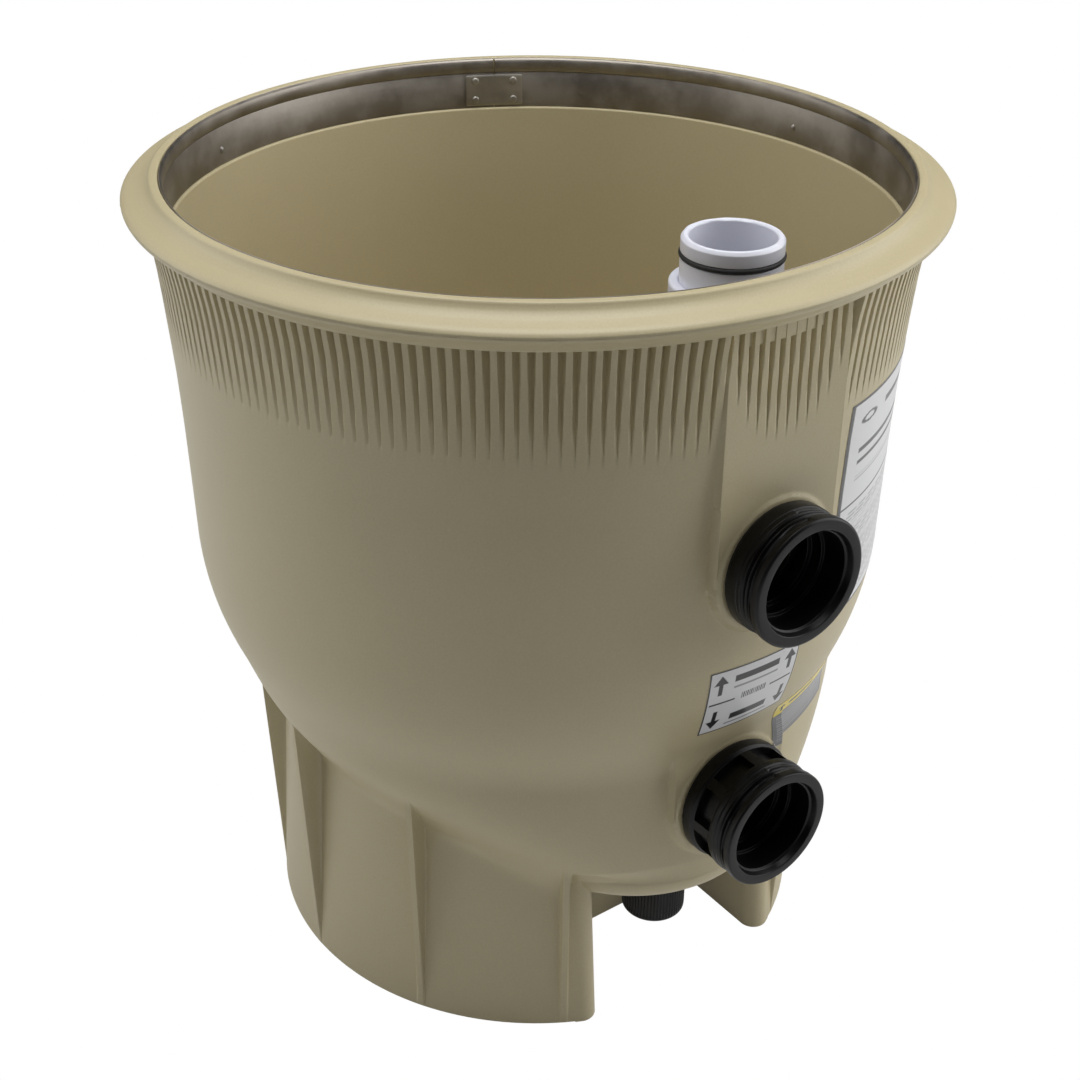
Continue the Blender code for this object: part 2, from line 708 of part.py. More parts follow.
def drain_spigot():
    """A threaded fitting: a flange under the sump, a tail up through it, a thread below."""
    flange_bottom = DRAIN_FLANGE_TOP - 0.008
    thread = []
    for turn in range(3):
        start = 0.0740 - turn * CAP_PITCH
        thread += [(0.0190, start), (0.0178, start - 0.0012), (0.0178, start - 0.0022),
                   (0.0190, start - 0.0034)]
    outline = [(0.0140, 0.0562), (0.0140, 0.1420), (0.0190, 0.1420), (0.0190, DRAIN_FLANGE_TOP),
               (0.0300, DRAIN_FLANGE_TOP), (0.0300, flange_bottom), (0.0190, flange_bottom)]
    outline += thread + [(0.0180, 0.0562)]
    spigot = turned("drain_spigot", outline, black_plastic(), 36)
    spigot.location = (0, -DRAIN_OFFSET, 0)
    return spigot


def drain_gasket():
    low = DRAIN_FLANGE_TOP + GAP
    profile = [(0.0198, low), (0.0290, low), (0.0290, low + 0.002), (0.0198, low + 0.002)]
    ring = turned("drain_gasket", profile, black_rubber(), 48)
    ring.location = (0, -DRAIN_OFFSET, 0)
    return ring


def drain_locknut():
    """A six-sided nut on the spigot's tail, on the sump's floor."""
    low = SUMP_BOTTOM + WALL + GAP
    high = low + 0.010
    nut = turned("drain_locknut", [(0, low), (0.0290, low), (0.0290, high), (0, high)],
                 black_plastic(), 6)
    bore = turned("bore", [(0, low - 0.01), (0.0195, low - 0.01), (0.0195, high + 0.01),
                           (0, high + 0.01)], black_plastic(), 48)
    combine(nut, bore, "DIFFERENCE")
    nut.location = (0, -DRAIN_OFFSET, 0)
    return nut


def drain_cap():
    """A deep cap with a rounded flat bottom, its origin on its turning axis."""
    rim = CAP_HEIGHT
    outline = [(0, 0)]
    outline += arc((CAP_RADIUS - 0.003, 0.003), 0.003, -90, 0, 4)
    outline += [(CAP_RADIUS, rim - 0.001), (CAP_RADIUS - 0.001, rim), (0.0200, rim),
                (0.0200, 0.0050), (0, 0.0050)]
    cap = turned("drain_cap", outline, black_plastic(), 40)
    cap.location = (0, -DRAIN_OFFSET, CAP_BOTTOM)
    return cap


def drain_cap_washer():
    """A flat washer between the cap's floor and the spigot's end, on the cap's axis."""
    profile = [(0.0110, 0), (0.0195, 0), (0.0195, 0.0030), (0.0110, 0.0030)]
    washer = turned("drain_cap_washer", profile, black_rubber(), 48)
    washer.location = (0, -DRAIN_OFFSET, CAP_BOTTOM + 0.0050 + GAP)
    return washer


# The labels

def wall_radius(height, angle):
    """The outer wall's radius between the flutes and the dome."""
    if height < SPRING_HEIGHT:
        return dome_radius(height, angle)
    if height > BARREL_TOP:
        return BARREL_RADIUS + (COLLAR_RADIUS - BARREL_RADIUS) * (height - BARREL_TOP) / 0.030
    part = (height - SPRING_HEIGHT) / (BARREL_TOP - SPRING_HEIGHT)
    return SPRING_RADIUS + (BARREL_RADIUS - SPRING_RADIUS) * part


def label(name, middle, half, low, high):
    """A film bent to the wall, in rows that follow the wall's slope."""
    bm = bmesh.new()
    columns, rows = 8, 5
    layers = []
    for lift in (0.0006, 0.0010):
        grid = []
        for row in range(rows + 1):
            height = low + (high - low) * row / rows
            angles = [radians(middle + half * (2 * c / columns - 1)) for c in range(columns + 1)]
            places = [(a, wall_radius(height, a) + lift) for a in angles]
            grid.append([bm.verts.new((r * sin(a), -r * cos(a), height)) for a, r in places])
        layers.append(grid)
    inner, outer = layers
    for row in range(rows):
        for c in range(columns):
            for g in (inner, outer):
                bm.faces.new((g[row][c], g[row][c + 1], g[row + 1][c + 1], g[row + 1][c]))
    for row in range(rows):
        for c in (0, columns):
            bm.faces.new((inner[row][c], inner[row + 1][c], outer[row + 1][c], outer[row][c]))
    for c in range(columns):
        for row in (0, rows):
            bm.faces.new((inner[row][c], inner[row][c + 1], outer[row][c + 1], outer[row][c]))
    return add_object(name, bm, label_film())


def build():
    clear_scene()
    tank_shell()
    backup_ring()
    splice_plate()
    for number, (side, row) in enumerate(((-1, -1), (-1, 1), (1, -1), (1, 1)), 1):
        splice_rivet(number, side, row)
    outlet_bulkhead()
    inlet_bulkhead()
    port_gasket("outlet_gasket", OUTLET_PAD, OUTLET_HEIGHT)
    port_gasket("inlet_gasket", INLET_PAD, INLET_HEIGHT)
    spacer("outlet_spacer", OUTLET_SPACER_BACK, 0.2534, 0.0, OUTLET_HEIGHT)
    spacer("inlet_spacer", INLET_SPACER_BACK, SUMP_RADIUS - WALL, SUMP_OFFSET, INLET_HEIGHT)
    locknut("outlet_locknut", OUTLET_SPACER_BACK - GAP, OUTLET_HEIGHT)
    locknut("inlet_locknut", INLET_SPACER_BACK - GAP, INLET_HEIGHT)
    outlet_elbow()
    elbow_hub()
    elbow_spigot()
    outlet_standpipe()
    standpipe_o_ring()
    outlet_elbow_seal()
    inlet_diffuser()
    drain_spigot()
    drain_gasket()
    drain_locknut()
    drain_cap()
    drain_cap_washer()
    label("flow_label", -1.0, 9.0, 0.2830, 0.3470)
    label("rating_label", 42.0, 26.0, 0.3350, 0.5050)
    label("caution_label", 22.5, 8.5, 0.2300, 0.2680)


build()
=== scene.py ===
"""The looks of an open filter tank: fluted beige shell, steel ring, ports, stub, drain cap, labels."""

import bmesh
import bpy
import numpy as np
from mathutils import Matrix, Vector


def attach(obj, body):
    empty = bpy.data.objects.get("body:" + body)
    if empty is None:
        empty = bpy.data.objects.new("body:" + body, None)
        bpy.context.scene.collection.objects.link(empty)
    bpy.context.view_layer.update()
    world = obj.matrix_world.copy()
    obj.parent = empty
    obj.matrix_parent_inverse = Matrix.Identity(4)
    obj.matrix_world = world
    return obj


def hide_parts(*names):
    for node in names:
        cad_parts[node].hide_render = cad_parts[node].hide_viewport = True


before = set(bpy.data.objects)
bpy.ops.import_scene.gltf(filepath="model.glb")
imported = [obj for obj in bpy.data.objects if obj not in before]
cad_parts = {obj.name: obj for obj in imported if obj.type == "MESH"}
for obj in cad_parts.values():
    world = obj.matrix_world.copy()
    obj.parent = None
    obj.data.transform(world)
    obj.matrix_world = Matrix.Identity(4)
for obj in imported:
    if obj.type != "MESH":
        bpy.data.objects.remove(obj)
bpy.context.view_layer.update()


# Camera, lamps and floor. The tank stands on a white floor between two tall soft lamps, with one
# overhead and a weak one in front, and is seen from above and to the left of its ports.

view_turn = np.radians(-36)
pitch, yaw, roll = 0.5279, 0.0023, -0.0066


def studio(x, y, z):
    """A place given as right of, beyond and above the tank's foot, seen from the camera's side."""
    return Vector((x * np.cos(view_turn) - y * np.sin(view_turn),
                   x * np.sin(view_turn) + y * np.cos(view_turn), z))


ahead = Vector((np.sin(yaw) * np.cos(pitch), np.cos(yaw) * np.cos(pitch), -np.sin(pitch)))
across = Vector((np.cos(yaw), -np.sin(yaw), 0))
across = (across * np.cos(roll) + ahead.cross(across) * np.sin(roll)).normalized()
upward = across.cross(ahead)
camera = bpy.data.objects.new("camera", bpy.data.cameras.new("camera"))
camera.data.lens = 57.53
camera.data.sensor_width = 36
camera.data.clip_start = 0.01
axes = Matrix((studio(*across), studio(*upward), -studio(*ahead))).transposed()
camera.matrix_world = Matrix.Translation(studio(0, -1.1807, 0.995)) @ axes.to_4x4()
bpy.context.collection.objects.link(camera)
bpy.context.scene.camera = camera
bpy.context.scene.view_settings.view_transform = "Standard"
bpy.context.scene.view_settings.look = "None"


def soft_lamp(name, place, aim, width, height, power):
    """A rectangular lamp that faces its aim."""
    lamp = bpy.data.lights.new(name, "AREA")
    lamp.shape = "RECTANGLE"
    lamp.size, lamp.size_y, lamp.energy = width, height, power
    holder = bpy.data.objects.new(name, lamp)
    holder.location = studio(*place)
    holder.rotation_euler = (studio(*aim) - studio(*place)).to_track_quat("-Z", "Y").to_euler()
    bpy.context.collection.objects.link(holder)


soft_lamp("lamp_left", (-1.7, 0.10, 1.05), (0, 0, 0.40), 1.4, 1.9, 13)
soft_lamp("lamp_right", (1.7, 0.15, 1.05), (0, 0, 0.40), 1.4, 1.9, 22)
soft_lamp("lamp_above", (0, -0.10, 2.0), (0, 0, 0.4), 1.4, 1.0, 20)
soft_lamp("lamp_front", (0, -1.9, 2.0), (0, 0, 0.45), 1.6, 1.0, 2.5)

world = bpy.data.worlds.new("studio_air")
bpy.context.scene.world = world
world.use_nodes = True
world.node_tree.nodes["Background"].inputs["Color"].default_value = (1.0, 0.99, 0.98, 1)
world.node_tree.nodes["Background"].inputs["Strength"].default_value = 0.02


def quads(rows, columns, ring=False, tube=False):
    """The corner numbers of a grid's faces. A ring's last column joins its first, a tube's last row too."""
    number = np.arange(rows * columns).reshape(rows, columns)
    if ring:
        number = np.concatenate([number, number[:, :1]], axis=1)
    if tube:
        number = np.concatenate([number, number[:1]], axis=0)
    corners = [number[:-1, :-1], number[:-1, 1:], number[1:, 1:], number[1:, :-1]]
    return np.stack(corners, axis=-1).reshape(-1, 4)


def piece_from(name, points, faces):
    """One object from an array of points and an array of four-cornered faces."""
    mesh = bpy.data.meshes.new(name)
    mesh.vertices.add(len(points))
    mesh.vertices.foreach_set("co", np.ascontiguousarray(points, dtype=np.float32).ravel())
    mesh.loops.add(faces.size)
    mesh.loops.foreach_set("vertex_index", faces.ravel().astype(np.int32))
    mesh.polygons.add(len(faces))
    mesh.polygons.foreach_set("loop_start", np.arange(len(faces), dtype=np.int32) * 4)
    mesh.update(calc_edges=True)
    piece = bpy.data.objects.new(name, mesh)
    bpy.context.collection.objects.link(piece)
    return piece


floor_side = np.linspace(-6, 6, 13)
across_floor, along_floor = np.meshgrid(floor_side, floor_side)
floor_points = np.stack([across_floor, along_floor, np.full_like(across_floor, -0.0005)], axis=-1)
studio_floor = piece_from("studio_floor", floor_points.reshape(-1, 3), quads(13, 13))
floor_paint = bpy.data.materials.new("floor_paint")
floor_paint.use_nodes = True
floor_shader = floor_paint.node_tree.nodes["Principled BSDF"]
floor_shader.inputs["Base Color"].default_value = (0.90, 0.90, 0.90, 1)
floor_shader.inputs["Roughness"].default_value = 0.9
floor_glow = floor_paint.node_tree.nodes.new("ShaderNodeEmission")
seen = floor_paint.node_tree.nodes.new("ShaderNodeLightPath")
chosen = floor_paint.node_tree.nodes.new("ShaderNodeMixShader")
floor_links = floor_paint.node_tree.links
shown = floor_paint.node_tree.nodes.new("ShaderNodeMath")
shown.operation = "MULTIPLY_ADD"
shown.inputs[1].default_value = 0.45
floor_links.new(seen.outputs["Is Glossy Ray"], shown.inputs[0])
floor_links.new(seen.outputs["Is Camera Ray"], shown.inputs[2])
floor_links.new(shown.outputs["Value"], chosen.inputs["Fac"])
floor_links.new(floor_shader.outputs["BSDF"], chosen.inputs[1])
floor_links.new(floor_glow.outputs["Emission"], chosen.inputs[2])
floor_links.new(chosen.outputs["Shader"], floor_paint.node_tree.nodes["Material Output"].inputs["Surface"])
studio_floor.data.materials.append(floor_paint)


# The tank shell: one injection moulding in beige glass-filled plastic, with a clamp flange,
# a fluted collar, flat pads for the ports, a domed bottom, a sump for the drain and a ribbed skirt.

flute_count = 196
flute_depth = 0.0055
spring_height = 0.354
flange_foot = 0.591
collar_low = 0.470
sump_rim = 0.1385
port_hole = 0.0336
drain_y = -0.161
wall_line = np.array([(spring_height, 0.2605), (0.400, 0.2614), (0.440, 0.2623), (0.480, 0.2638),
                      (0.500, 0.2651), (0.520, 0.2665), (0.540, 0.2679), (0.560, 0.2696),
                      (0.575, 0.2714), (0.592, 0.2744)])
inner_line = np.array([(spring_height, 0.2540), (0.440, 0.2558), (0.520, 0.2575), (0.592, 0.2590)])
outlet_height, inlet_height = 0.4155, 0.2085
outlet_pad, inlet_pad = 0.2645, 0.2375
pad_half = 0.0515
arch_edge = 27.5
sump_middle, sump_radius, sump_roll, sump_low = 0.125, 0.112, 0.025, 0.1135


def ease(value, low, high):
    """0 below low, 1 above high, and a smooth rise between: 3t squared less 2t cubed."""
    part = np.clip((value - low) / (high - low), 0, 1)
    return part * part * (3 - 2 * part)


def larger(one, two, soft):
    """The larger of two radii, with the corner where they cross filleted over about soft."""
    lean = np.clip(0.5 + 0.5 * (one - two) / soft, 0, 1)
    return two + (one - two) * lean + soft * lean * (1 - lean)


def wander(points, wavelength, seed):
    """A smooth random field, about -1 to 1: a sum of nine sine waves of random direction and phase."""
    chance = np.random.default_rng(seed)
    total = np.zeros(points.shape[:-1])
    for turn in range(9):
        direction = chance.normal(size=3)
        direction *= 2 * np.pi / wavelength * chance.uniform(0.6, 1.6) / np.linalg.norm(direction)
        total += np.sin(points @ direction + chance.uniform(0, 6.28))
    return total / 4.5


def pad_cover(x, height, middle, half):
    """1 on a pad whose outline is a U around its port, 0 off it, with a drafted edge about 2 mm wide."""
    outside = np.where(height > middle, np.abs(x) - half, np.hypot(x, height - middle) - half)
    return 1 - ease(outside, -0.0010, 0.0016)


def plain_radius(height):
    """Radius of the wall above the spring line, and of the half ellipse of the dome below it."""
    dome = 0.2605 * np.sqrt(np.clip(1 - ((spring_height - height) / 0.238) ** 2, 0, 1))
    return np.where(height > spring_height, np.interp(height, *wall_line.T), dome)


def dome_depth(turn):
    """How far the dome falls below its spring line: most towards the ports, least at the back."""
    return 0.238 + 0.282 / (1 + (np.abs(turn) / 31) ** 2.2)


def bulge_radius(turn, height, inset=0.0):
    """Half ellipse of that depth, held back to the reach of the bulge over the sump."""
    deep = (spring_height - height) / (dome_depth(turn) - inset)
    ellipse = (0.2605 - inset) * np.sqrt(np.clip(1 - deep * deep, 0, 1))
    return -larger(-ellipse, np.full_like(ellipse, inset - 0.2362), 0.012)


def shell_radius(azimuth, height):
    """Outer radius in direction azimuth (degrees from the ports) at each height: the plain wall and dome,
    joined by fillets to the bulge, the flared skirt with its ribs, the sump's circle and the two flat pads,
    less the flutes, whose depth grows upwards and whose sides are steep."""
    turn = (azimuth + 180) % 360 - 180
    angle = np.radians(turn)
    skirt = 0.217 - 0.0125 * height / 0.195
    rib = 0.217 + 0.0085 * np.minimum(height / 0.219, 1)
    off_rib = np.radians(np.abs((turn + 15) % 30 - 15)) * 0.22
    on_rib = (1 - ease(off_rib, 0.0024, 0.0040)) * (np.abs(turn) > 15)
    radius = skirt + (rib - skirt) * on_rib
    near = np.abs(turn) < 40
    chord = np.clip(sump_radius ** 2 - (sump_middle * np.sin(angle)) ** 2, 0, 1)
    sump = sump_middle * np.cos(angle) + np.sqrt(chord)
    radius = np.where(near, larger(radius, np.where(near, sump, 0), 0.006), radius)
    body = larger(plain_radius(height), bulge_radius(turn, height) * (height < spring_height), 0.008)
    soft = 0.003 + 0.004 * (1 - on_rib)
    blend = ease(height, sump_rim * (np.abs(turn) < 29), 0.158)
    radius = radius + (larger(body, radius, soft) - radius) * blend
    facing = np.where(near, np.cos(angle), 1)
    for middle, plane in ((inlet_height, inlet_pad), (outlet_height, outlet_pad)):
        x = plane * np.tan(np.where(near, angle, 0.8))
        boss = 0.0015 * (1 - ease(np.hypot(x, height - middle), 0.0478, 0.0490))
        pad = (plane + boss) / facing
        cover = pad_cover(x, height, middle, pad_half) * near
        if plane == inlet_pad:
            cover = cover * (1 - ease(height, 0.238, 0.266))
        radius = radius + (pad - radius) * cover
    across = outlet_pad * np.tan(np.where(near, angle, 0.8))
    pad_here = pad_cover(across, height, outlet_height, pad_half) * near
    aside = np.abs(angle / 0.192) ** 2.6
    start = 0.5080 + (0.056 * aside - 0.002 * (1 - aside)) * pad_here
    grown = np.clip((height - start) / (flange_foot - start), 0, 1) ** 0.95 * flute_depth
    beside = np.abs((turn * flute_count / 360) % 1 - 0.5) * 2
    side = ease(1 - beside, 0.12, 0.66)
    scallop = np.clip(grown - flute_depth * 1.06 * side, 0, 1)
    foot = 0.0012 - np.sqrt(np.clip(0.0012 ** 2 - (0.0012 - np.minimum(height, 0.0012)) ** 2, 0, 1))
    return radius - scallop - foot


def room_radius(azimuth, height):
    """Radius of the inside: the wall, and below the spring line the dome and bulge one wall thickness in."""
    turn = (azimuth + 180) % 360 - 180
    dome = 0.254 * np.sqrt(np.clip(1 - ((spring_height - height) / 0.2315) ** 2, 0, 1))
    dome = larger(dome + 0 * turn, bulge_radius(turn, height, 0.0065), 0.008)
    return np.where(height > spring_height, np.interp(height, *inner_line.T), dome)


def around(azimuth, radius, height):
    """Points at these azimuths (degrees from the ports), radii and heights."""
    angle = np.radians(azimuth)
    return np.stack(np.broadcast_arrays(radius * np.sin(angle), -radius * np.cos(angle), height), axis=-1)


def finish_piece(piece, paint, body, nodes=(), sharp=38):
    """Merges the seams, turns the faces out, smooths all but the sharp edges, and gives it to the frame."""
    work = bmesh.new()
    work.from_mesh(piece.data)
    bmesh.ops.remove_doubles(work, verts=work.verts, dist=1e-6)
    bmesh.ops.dissolve_degenerate(work, edges=work.edges, dist=1e-7)
    bmesh.ops.recalc_face_normals(work, faces=work.faces)
    work.to_mesh(piece.data)
    work.free()
    piece.data.polygons.foreach_set("use_smooth", np.ones(len(piece.data.polygons), dtype=bool))
    piece.data.set_sharp_from_angle(angle=np.radians(sharp))
    piece.data.materials.clear()
    piece.data.materials.append(paint)
    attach(piece, body)
    if nodes:
        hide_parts(*nodes)
    return piece


def shelled(name, outer, inner):
    """A closed wall from an outer and an inner grid of the same shape, edged on all four sides."""
    rows, columns = outer.shape[:2]
    points = np.concatenate([outer, inner[::-1]])
    faces = [quads(2 * rows, columns, tube=True)]
    for side in (0, columns - 1):
        low = np.arange(rows - 1) * columns + side
        far = (2 * rows - 1 - np.arange(rows - 1)) * columns + side
        faces.append(np.stack([low, low + columns, far - columns, far], axis=-1))
    return piece_from(name, points.reshape(-1, 3), np.concatenate(faces))


def turned(name, outline, middle=(0, 0), columns=96, port=None, shape=None):
    """An outline of (radius, place) carried round an axis: upright through middle, or level through a
    port's height, where place runs outwards. One that starts and ends on the axis has poles there."""
    outline = np.asarray(outline, dtype=float)
    angle = np.linspace(0, 2 * np.pi, columns, endpoint=False)
    radius = np.repeat(outline[:, :1], columns, axis=1)
    place = np.repeat(outline[:, 1:], columns, axis=1)
    if shape is not None:
        radius = shape(radius, place, angle)
    side, front = radius * np.sin(angle), radius * np.cos(angle)
    if port is None:
        points = np.stack([middle[0] + side, middle[1] - front, place], axis=-1)
    else:
        points = np.stack([side, -place, port + front], axis=-1)
    on_axis = outline[0, 0] == 0 and outline[-1, 0] == 0
    return piece_from(name, points.reshape(-1, 3), quads(len(outline), columns, ring=True, tube=not on_axis))


def rounded(outline, radius, steps=4, open_ends=False):
    """The outline with each corner replaced by a short quadratic curve that starts radius away from it."""
    outline = np.asarray(outline, dtype=float)
    before, after = np.roll(outline, 1, axis=0), np.roll(outline, -1, axis=0)
    back = np.linalg.norm(before - outline, axis=1, keepdims=True)
    forth = np.linalg.norm(after - outline, axis=1, keepdims=True)
    start = outline + (before - outline) * np.minimum(radius / np.maximum(back, 1e-9), 0.42)
    end = outline + (after - outline) * np.minimum(radius / np.maximum(forth, 1e-9), 0.42)
    part = np.linspace(0, 1, steps + 1)[None, :, None]
    curve = (start[:, None] * (1 - part) ** 2 + 2 * outline[:, None] * part * (1 - part)
             + end[:, None] * part ** 2)
    if open_ends:
        curve[0], curve[-1] = outline[0], outline[-1]
    return curve.reshape(-1, 2)


def take_away(piece, tool):
    """Cuts the tool's volume out of the piece, then removes the tool."""
    for each in (piece, tool):
        work = bmesh.new()
        work.from_mesh(each.data)
        bmesh.ops.remove_doubles(work, verts=work.verts, dist=1e-6)
        bmesh.ops.recalc_face_normals(work, faces=work.faces)
        work.to_mesh(each.data)
        work.free()
    knife = piece.modifiers.new("knife", "BOOLEAN")
    knife.operation, knife.solver, knife.object = "DIFFERENCE", "EXACT", tool
    bpy.context.view_layer.update()
    cut = bpy.data.meshes.new_from_object(piece.evaluated_get(bpy.context.evaluated_depsgraph_get()))
    piece.modifiers.clear()
    piece.data = cut
    bpy.data.objects.remove(tool)
    return piece


def add_node(tree, kind, **sockets):
    """A shader node, with sockets set by name where _ stands for a space."""
    made = tree.nodes.new(kind)
    for name, value in sockets.items():
        made.inputs[name.replace("_", " ")].default_value = value
    return made


def mottle_group():
    """Moulded plastic's unevenness: fine glass-fibre speckle, broad flow clouds and a pebbled height."""
    tree = bpy.data.node_groups.new("moulded_mottle", "ShaderNodeTree")
    for name, value in (("Speckle Scale", 900.0), ("Cloud Scale", 9.0), ("Speckle", 0.5), ("Cloud", 0.5)):
        tree.interface.new_socket(name, in_out="INPUT", socket_type="NodeSocketFloat").default_value = value
    tree.interface.new_socket("Tone", in_out="OUTPUT", socket_type="NodeSocketFloat")
    tree.interface.new_socket("Height", in_out="OUTPUT", socket_type="NodeSocketFloat")
    given, out = tree.nodes.new("NodeGroupInput"), tree.nodes.new("NodeGroupOutput")
    place = tree.nodes.new("ShaderNodeTexCoord")
    fine = add_node(tree, "ShaderNodeTexNoise", Detail=3.0, Roughness=0.6)
    broad = add_node(tree, "ShaderNodeTexNoise", Detail=4.0, Roughness=0.55)
    for noise, scale in ((fine, "Speckle Scale"), (broad, "Cloud Scale")):
        tree.links.new(place.outputs["Object"], noise.inputs["Vector"])
        tree.links.new(given.outputs[scale], noise.inputs["Scale"])
    total = None
    for noise, weight in ((fine, "Speckle"), (broad, "Cloud")):
        centred = tree.nodes.new("ShaderNodeMath")
        centred.operation = "SUBTRACT"
        centred.inputs[1].default_value = 0.5
        tree.links.new(noise.outputs["Fac"], centred.inputs[0])
        scaled = tree.nodes.new("ShaderNodeMath")
        scaled.operation = "MULTIPLY_ADD"
        tree.links.new(centred.outputs[0], scaled.inputs[0])
        tree.links.new(given.outputs[weight], scaled.inputs[1])
        if total is None:
            scaled.inputs[2].default_value = 0.5
        else:
            tree.links.new(total.outputs[0], scaled.inputs[2])
        total = scaled
    tree.links.new(total.outputs[0], out.inputs["Tone"])
    tree.links.new(fine.outputs["Fac"], out.inputs["Height"])
    return tree


moulded_mottle = mottle_group()


def plastic_paint(name, dark, pale, roughness, speckle=0.5, cloud=0.5, fine=900.0, broad=9.0, bump=0.05,
                  shine=0.5):
    """A moulded plastic whose colour runs between two tones with the mottle, with a faint pebbled surface."""
    paint = bpy.data.materials.new(name)
    paint.use_nodes = True
    tree = paint.node_tree
    shader = tree.nodes["Principled BSDF"]
    shader.inputs["Roughness"].default_value = roughness
    shader.inputs["Specular IOR Level"].default_value = shine
    mottle = tree.nodes.new("ShaderNodeGroup")
    mottle.node_tree = moulded_mottle
    for socket, value in (("Speckle Scale", fine), ("Cloud Scale", broad),
                          ("Speckle", speckle), ("Cloud", cloud)):
        mottle.inputs[socket].default_value = value
    tones = tree.nodes.new("ShaderNodeValToRGB")
    tones.color_ramp.elements[0].position, tones.color_ramp.elements[1].position = 0.25, 0.75
    tones.color_ramp.elements[0].color, tones.color_ramp.elements[1].color = (*dark, 1), (*pale, 1)
    tree.links.new(mottle.outputs["Tone"], tones.inputs["Fac"])
    tree.links.new(tones.outputs["Color"], shader.inputs["Base Color"])
    sheen_map = add_node(tree, "ShaderNodeMapRange", From_Min=0.2, From_Max=0.8,
                         To_Min=roughness - 0.05, To_Max=roughness + 0.07)
    tree.links.new(mottle.outputs["Tone"], sheen_map.inputs["Value"])
    tree.links.new(sheen_map.outputs["Result"], shader.inputs["Roughness"])
    relief = add_node(tree, "ShaderNodeBump", Strength=bump, Distance=0.0006)
    tree.links.new(mottle.outputs["Height"], relief.inputs["Height"])
    tree.links.new(relief.outputs["Normal"], shader.inputs["Normal"])
    return paint


beige_moulding = plastic_paint("beige_moulding", (0.510, 0.440, 0.268), (0.580, 0.508, 0.322), 0.42,
                               speckle=0.7, cloud=0.55, fine=700.0, broad=7.0, bump=0.10)

# the fluted collar, with 10 columns to each flute; inside, a ledge leaves room for the steel band
across_flute = np.array([-0.42, -0.36, -0.30, -0.22, -0.12, 0.0, 0.12, 0.22, 0.30, 0.36]) + 0.5
columns = ((np.arange(flute_count)[:, None] + across_flute) * 360 / flute_count).ravel()
heights = np.concatenate([np.linspace(collar_low, 0.500, 6), np.linspace(0.5035, flange_foot, 30)])
outside = around(columns[None], shell_radius(columns[None], heights[:, None]), heights[:, None])
ledge_rows = np.array([(0.2632, flange_foot), (0.2632, 0.5765), (0.2588, 0.5765), (0.2564, collar_low)])
inside = around(columns[None], ledge_rows[:, :1], ledge_rows[:, 1:])
collar_points = np.concatenate([outside, inside])
collar = piece_from("shell_collar", collar_points.reshape(-1, 3),
                    quads(len(collar_points), len(columns), ring=True, tube=True))
finish_piece(collar, beige_moulding, "tank", ["tank_shell"], sharp=50)

# the clamp flange, with a rough parting line at its widest
flange_outline = [(0.2589, 0.5755), (0.2642, 0.5755), (0.2642, 0.5905), (0.2746, 0.5905), (0.2752, 0.5918),
                  (0.2766, 0.5934), (0.2800, 0.5962), (0.2850, 0.5996), (0.2876, 0.6019), (0.28885, 0.6044),
                  (0.28875, 0.6056), (0.2868, 0.6077), (0.2838, 0.6090), (0.2800, 0.6101), (0.2765, 0.6113),
                  (0.2735, 0.6129), (0.2712, 0.6147), (0.2697, 0.6166), (0.2690, 0.6178), (0.2682, 0.6187),
                  (0.2668, 0.6190), (0.2640, 0.6190), (0.2630, 0.6187), (0.2624, 0.6180), (0.2624, 0.5780),
                  (0.2592, 0.5775)]


def parting_flash(radius, place, angle):
    """Lowers the outline a little, by a random amount, everywhere but in a thin line at the widest place."""
    points = np.stack(np.broadcast_arrays(np.sin(angle), np.cos(angle), place * 0), axis=-1)
    ragged = wander(points, 0.05, 3) * 0.5 + wander(points, 0.012, 4) * 0.5
    line = np.exp(-((place - 0.6046) / 0.0006) ** 2) * (radius > 0.285)
    return radius - 0.0004 * (1 - ragged) * line * 0.5 + 0.0003 * np.clip(ragged, 0, 1) * line - 0.0002 * line


flange = turned("shell_flange", rounded(flange_outline, 0.0012), columns=720, shape=parting_flash)
finish_piece(flange, beige_moulding, "tank", ["tank_shell"], sharp=50)


def bored(piece, name, height, radius, near, far):
    """Cuts a level hole for a port through the wall."""
    tool = turned(name, [(0, near), (radius, near), (radius, far), (0, far)], columns=80, port=height)
    return take_away(piece, tool)


# the front, with both pads and bosses, from the arch's edge to the other
azimuths = np.linspace(-arch_edge, arch_edge, 168)
heights = np.linspace(sump_rim, collar_low, 222)[:, None]
front_outer = around(azimuths[None], shell_radius(azimuths[None], heights), heights)
sump_inside = sump_middle * np.cos(np.radians(azimuths)) + np.sqrt(
    0.1055 ** 2 - (sump_middle * np.sin(np.radians(azimuths))) ** 2)
front_room = larger(room_radius(azimuths[None], heights), sump_inside[None], 0.006)
front_inner = around(azimuths[None], front_room, heights)
front = shelled("shell_front", front_outer, front_inner)
bored(front, "outlet_hole", outlet_height, port_hole, 0.225, 0.290)
bored(front, "inlet_hole", inlet_height, port_hole, 0.200, 0.260)
finish_piece(front, beige_moulding, "tank", ["tank_shell"], sharp=50)

